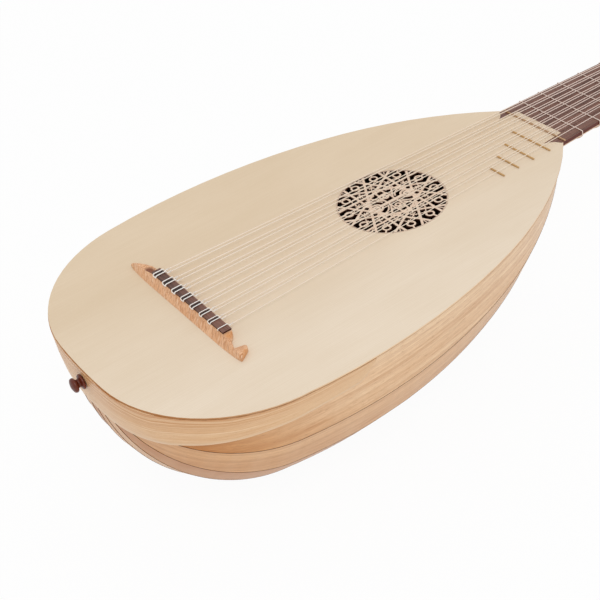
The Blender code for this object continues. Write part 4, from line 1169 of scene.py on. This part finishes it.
def make_peg(i):
    """A turned peg: a tapered shank, a necked collar and a flat head with a bone pip at its end."""
    side = peg_side(i)
    d = peg_place(i)
    half = box_half(d)
    start = 2 * half + 6.5
    # Distance along the peg, half width, half thickness and the section's power
    stations = [(s, r, r, 2.0) for s, r in ((0.0, PEG_RADIUS_TIP - 0.7), (0.25, PEG_RADIUS_TIP - 0.2),
                                            (0.6, PEG_RADIUS_TIP))]
    for k in range(1, 12):
        s = 2 * half * k / 12
        r = peg_radius(i, side * (s - half))
        stations.append((s, r, r, 2.0))
    stations += [(2 * half + s, r, r, 2.0) for s, r in PEG_NECK]
    for k in range(33):
        t = (1 - cos(pi * k / 32)) / 2
        wide = PEG_HEAD_HALF * max(spline(PEG_HEAD_WIDE, t), 0.06)
        thick = max(spline(PEG_HEAD_THICK, t), 0.4)
        stations.append((start + PEG_HEAD_LENGTH * t, wide, thick, 2.0 + 0.5 * smooth(t * 4)))
    rings = []
    for s, wide, thick, power in stations:
        # A shallow hollow on both faces of the head
        t = (s - start) / PEG_HEAD_LENGTH
        hollow = 0.16 * smooth(t * 5) * smooth((1 - t) * 4)
        ring = []
        for sn, cs in circle(28):
            dn = wide * copysign(abs(sn) ** (2 / power), sn)
            nn = thick * copysign(abs(cs) ** (2 / power), cs)
            nn *= 1 - hollow * (1 - min(abs(dn) / (wide * 0.8), 1.0) ** 2)
            ring.append(box_point(d + dn, PEG_LEVEL + nn, side * (s - half)))
        rings.append(ring)
    name = "peg_%02d" % (i + 1)
    piece(name + "_turned", *skin(rings), "peg", "fruitwood", body=name, replaces=(name,), sharp=50)
    end = start + PEG_HEAD_LENGTH - half
    pip = [[box_point(d + r * sn, PEG_LEVEL + r * cs, side * (end + s)) for sn, cs in circle(12)]
           for s, r in PIP]
    piece(name + "_pip", *skin(pip), "bone", "bone", body=name)


def peg_x(index, x_nut):
    """Where a strand reaches its peg: a little nearer the middle than straight down the pegbox."""
    return x_nut * box_room(peg_place(index)) / box_room(0.0) * 0.97


def make_windings():
    """The turns of each string round its peg, which turn with the peg."""
    steps = 16
    for index, _, _, x_nut, radius in strand_places():
        start = peg_x(index, x_nut)
        toward = -1.0 if start > 0 else 1.0
        pts = []
        for k in range(WINDING_TURNS * steps + 1):
            a = pi + 2 * pi * k / steps
            x = start + toward * (2 * radius + 0.1) * k / steps
            r = peg_radius(index, x) + radius + 0.05
            pts.append(box_point(peg_place(index) + r * sin(a), PEG_LEVEL + r * cos(a), x))
        name = "peg_%02d" % (index + 1)
        piece(name + "_winding", *tube(pts, radius, 8), "string", "string", body=name)


# Strings and frets

def strand_route(index, x_bridge, x_nut, radius):
    """One strand's route from its peg to the bridge's rear side."""
    lift = GAP + radius
    front, rear = BRIDGE_FRONT_Y + lift + 0.2, BRIDGE_FRONT_Y - CAP_WIDTH - lift - 0.15
    top, nut_z = BRIDGE_TOP + lift, NUT_TOP + lift
    to_nut = [box_point(peg_place(index), PEG_LEVEL - PEG_RADIUS_HEAD - lift, peg_x(index, x_nut)),
              box_point(0.6, lift + 0.1, x_nut * 0.995)]
    over_nut = [(x_nut, STRING_LENGTH + NUT_THICKNESS - 0.9, nut_z - 0.05),
                (x_nut, STRING_LENGTH + 0.4, nut_z)]
    over_bridge = ((front + 0.6, STRING_LOW_Z), (front, STRING_LOW_Z + 0.9), (front, top - 0.7),
                   (front - 0.7, top), (rear + 0.7, top), (rear, top - 0.7),
                   (rear, BRIDGE_TOP - CAP_THICKNESS + 0.1))
    return to_nut + over_nut + [(x_bridge, y, z) for y, z in over_bridge]


def make_strings():
    """The courses. The two strands of a pair are one cord that runs across the bridge's rear side."""
    courses = {}
    for index, course, x_bridge, x_nut, radius in strand_places():
        courses.setdefault(course, []).append((strand_route(index, x_bridge, x_nut, radius), radius))
    for course, routes in courses.items():
        points, radius = routes[0]
        if len(routes) == 2:
            points = points + routes[1][0][::-1]
        parts = [tube(rounded(points, 0.9), radius)]
        for route, r in routes:
            # The wraps where the tied end turns round its own string in front of the bridge
            far, low = Vector(route[3]), Vector(route[4])
            along = (far - low).normalized()
            side = Vector((1, 0, 0))
            up = along.cross(side)
            for k in range(3):
                centre = low + along * (1.2 + 1.1 * k)
                loop = []
                for j in range(12):
                    a = 2 * pi * j / 12
                    round_it = (side * cos(a) + up * sin(a)) * (r + WRAP_ROOM)
                    loop.append(centre + round_it + along * 0.5 * a / pi)
                parts.append(tube(loop, WRAP_RADIUS, 6))
        name = "course_%d" % course
        piece("strings_" + name, *join(parts), "string", "string", replaces=(name,))


def make_tied_frets():
    """The gut frets tied round the neck, each a closed loop with a knot."""
    # Enough room for the tie's travel towards the wider end of the neck
    room, off = TIE_RADIUS + TIE_ROOM, TIE_RADIUS + TIE_LIFT
    for number in range(1, TIED_FRETS + 1):
        y = STRING_LENGTH * 2 ** (-number / 12)
        w = neck_half(y) + room
        corner = ((w - 0.9, off), (w - 0.2, off - 0.3), (w, off - 1.1))
        section = list(corner) + [neck_edge(y, pi * k / 40, room) for k in range(41)]
        section += [(-x, z) for x, z in corner[::-1]]
        section += [(-w + 0.9 + (2 * w - 1.8) * k / 12, off) for k in range(1, 12)]
        parts = [tube([(x, y, z) for x, z in section], TIE_RADIUS, closed=True)]
        # The knot sits on the bass side, with two trimmed ends
        kx, kz = neck_edge(y, pi * 0.93, room + KNOT_ROOM)
        knot = []
        for k in range(36):
            t = 2 * pi * k / 36
            knot.append((kx - 0.35 * sin(3 * t), y + 0.75 * (sin(t) + 1.1 * sin(2 * t)) * 0.7,
                         kz + 0.8 * (cos(t) - 1.1 * cos(2 * t)) * 0.7))
        parts.append(tube(knot, TIE_RADIUS * 0.9, 8, closed=True))
        for side in (-1, 1):
            end = [(kx, y + side * 0.6, kz), (kx - 0.3, y + side * 1.6, kz - 0.3),
                   (kx - 0.2, y + side * 2.6, kz - 0.7)]
            parts.append(tube(end, TIE_RADIUS * 0.9, 8))
        name = "tied_fret_%02d" % number
        piece(name + "_gut", *join(parts), "gut", "string", body=name, replaces=(name,))


# CAD nodes that keep their shape

# Material and the width of the rounding along the edges
KEPT = {"soundboard": ("spruce", 0.35), "soundboard_bar": ("bar", 0.4), "bridge_cap": ("cap", 0.3),
        "neck_block": ("bar", 0.5), "fingerboard": ("ebony", 0.35),
        "pegbox_cheek_bass": ("box", 0.6), "pegbox_cheek_treble": ("box", 0.6),
        "pegbox_back": ("box", 0.5), "body_fret_08": ("joint_fret", 0.3)}
KEPT.update(("body_fret_%02d" % number, ("fret", 0.3)) for number in range(9, 13))


def dress_cad():
    for name, (material, width) in KEPT.items():
        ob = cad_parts[name]
        ob.data.materials.clear()
        ob.data.materials.append(MAT[material])
        bevel = ob.modifiers.new("edges", "BEVEL")
        bevel.width = width * MM
        bevel.segments = 2
        bevel.limit_method = "ANGLE"
        bevel.angle_limit = radians(50)
        bevel.harden_normals = False


# Stage, light and camera

def make_stage():
    """A white floor that glows where it is seen directly, and still shows the lute's shadow."""
    white = Graph("studio_white", 0.9, 0.0)
    white.shader.inputs["Base Color"].default_value = (0.86, 0.86, 0.86, 1.0)
    shine = white.node("Emission")
    shine.inputs["Strength"].default_value = 1.0
    shade = white.node("MixShader")
    white.link(white.times(white.seen(), FLOOR_GLOW), shade.inputs[0])
    white.link(white.shader.outputs["BSDF"], shade.inputs[1])
    white.link(shine.outputs["Emission"], shade.inputs[2])
    white.link(shade.outputs["Shader"], white.tree.nodes["Material Output"].inputs["Surface"])
    mesh = bpy.data.meshes.new("floor")
    corners = [(x * FLOOR_HALF, y * FLOOR_HALF, 0) for x, y in ((-1, -1), (1, -1), (1, 1), (-1, 1))]
    mesh.from_pydata(corners, [], [(0, 1, 2, 3)])
    mesh.materials.append(white.mat)
    floor = stand("floor", mesh)


def make_light():
    """A dome that shows white behind the lute, and two lamps."""
    world = bpy.data.worlds.new("studio")
    bpy.context.scene.world = world
    world.use_nodes = True
    sky = Nodes(world.node_tree)
    dome = sky.tree.nodes["Background"]
    backdrop = sky.node("Background")
    for background, strength in ((dome, DOME), (backdrop, 1.0)):
        background.inputs["Color"].default_value = (1.0, 1.0, 1.0, 1.0)
        background.inputs["Strength"].default_value = strength
    mix = sky.node("MixShader")
    sky.link(sky.seen(), mix.inputs[0])
    sky.link(dome.outputs["Background"], mix.inputs[1])
    sky.link(backdrop.outputs["Background"], mix.inputs[2])
    sky.link(mix.outputs["Shader"], sky.tree.nodes["World Output"].inputs["Surface"])
    for name, at, size, power in LAMPS:
        data = bpy.data.lights.new(name, "AREA")
        data.shape = "SQUARE"
        data.size = size
        data.energy = power
        lamp = stand(name, data)
        lamp.location = at
        lamp.rotation_euler = (Vector(LAMP_AIM) - Vector(at)).to_track_quat("-Z", "Y").to_euler()


def make_camera():
    az, el, roll = (radians(v) for v in CAMERA_TURN)
    back = Vector((sin(az) * cos(el), -cos(az) * cos(el), sin(el)))
    right = Vector((0, 0, 1)).cross(back).normalized()
    up = back.cross(right)
    c, s = cos(roll), sin(roll)
    right, up = c * right + s * up, -s * right + c * up
    data = bpy.data.cameras.new("camera")
    data.sensor_width = 36.0
    data.lens = CAMERA_FOCAL * data.sensor_width / PHOTO_WIDTH
    data.clip_start = 0.05
    data.clip_end = 60.0
    camera = stand("camera", data)
    turned = Matrix((right, up, back)).transposed().to_4x4()
    camera.matrix_world = Matrix.Translation(place(CAMERA_PLACE)) @ turned
    bpy.context.scene.camera = camera


bpy.context.scene.view_settings.view_transform = "Standard"
make_materials()
dress_cad()
make_ribs()
make_clasp()
make_rose()
make_bridge()
make_neck()
make_nut()
make_button()
for peg in range(PEG_COUNT):
    make_peg(peg)
make_windings()
make_strings()
make_tied_frets()
make_stage()
make_light()
make_camera()
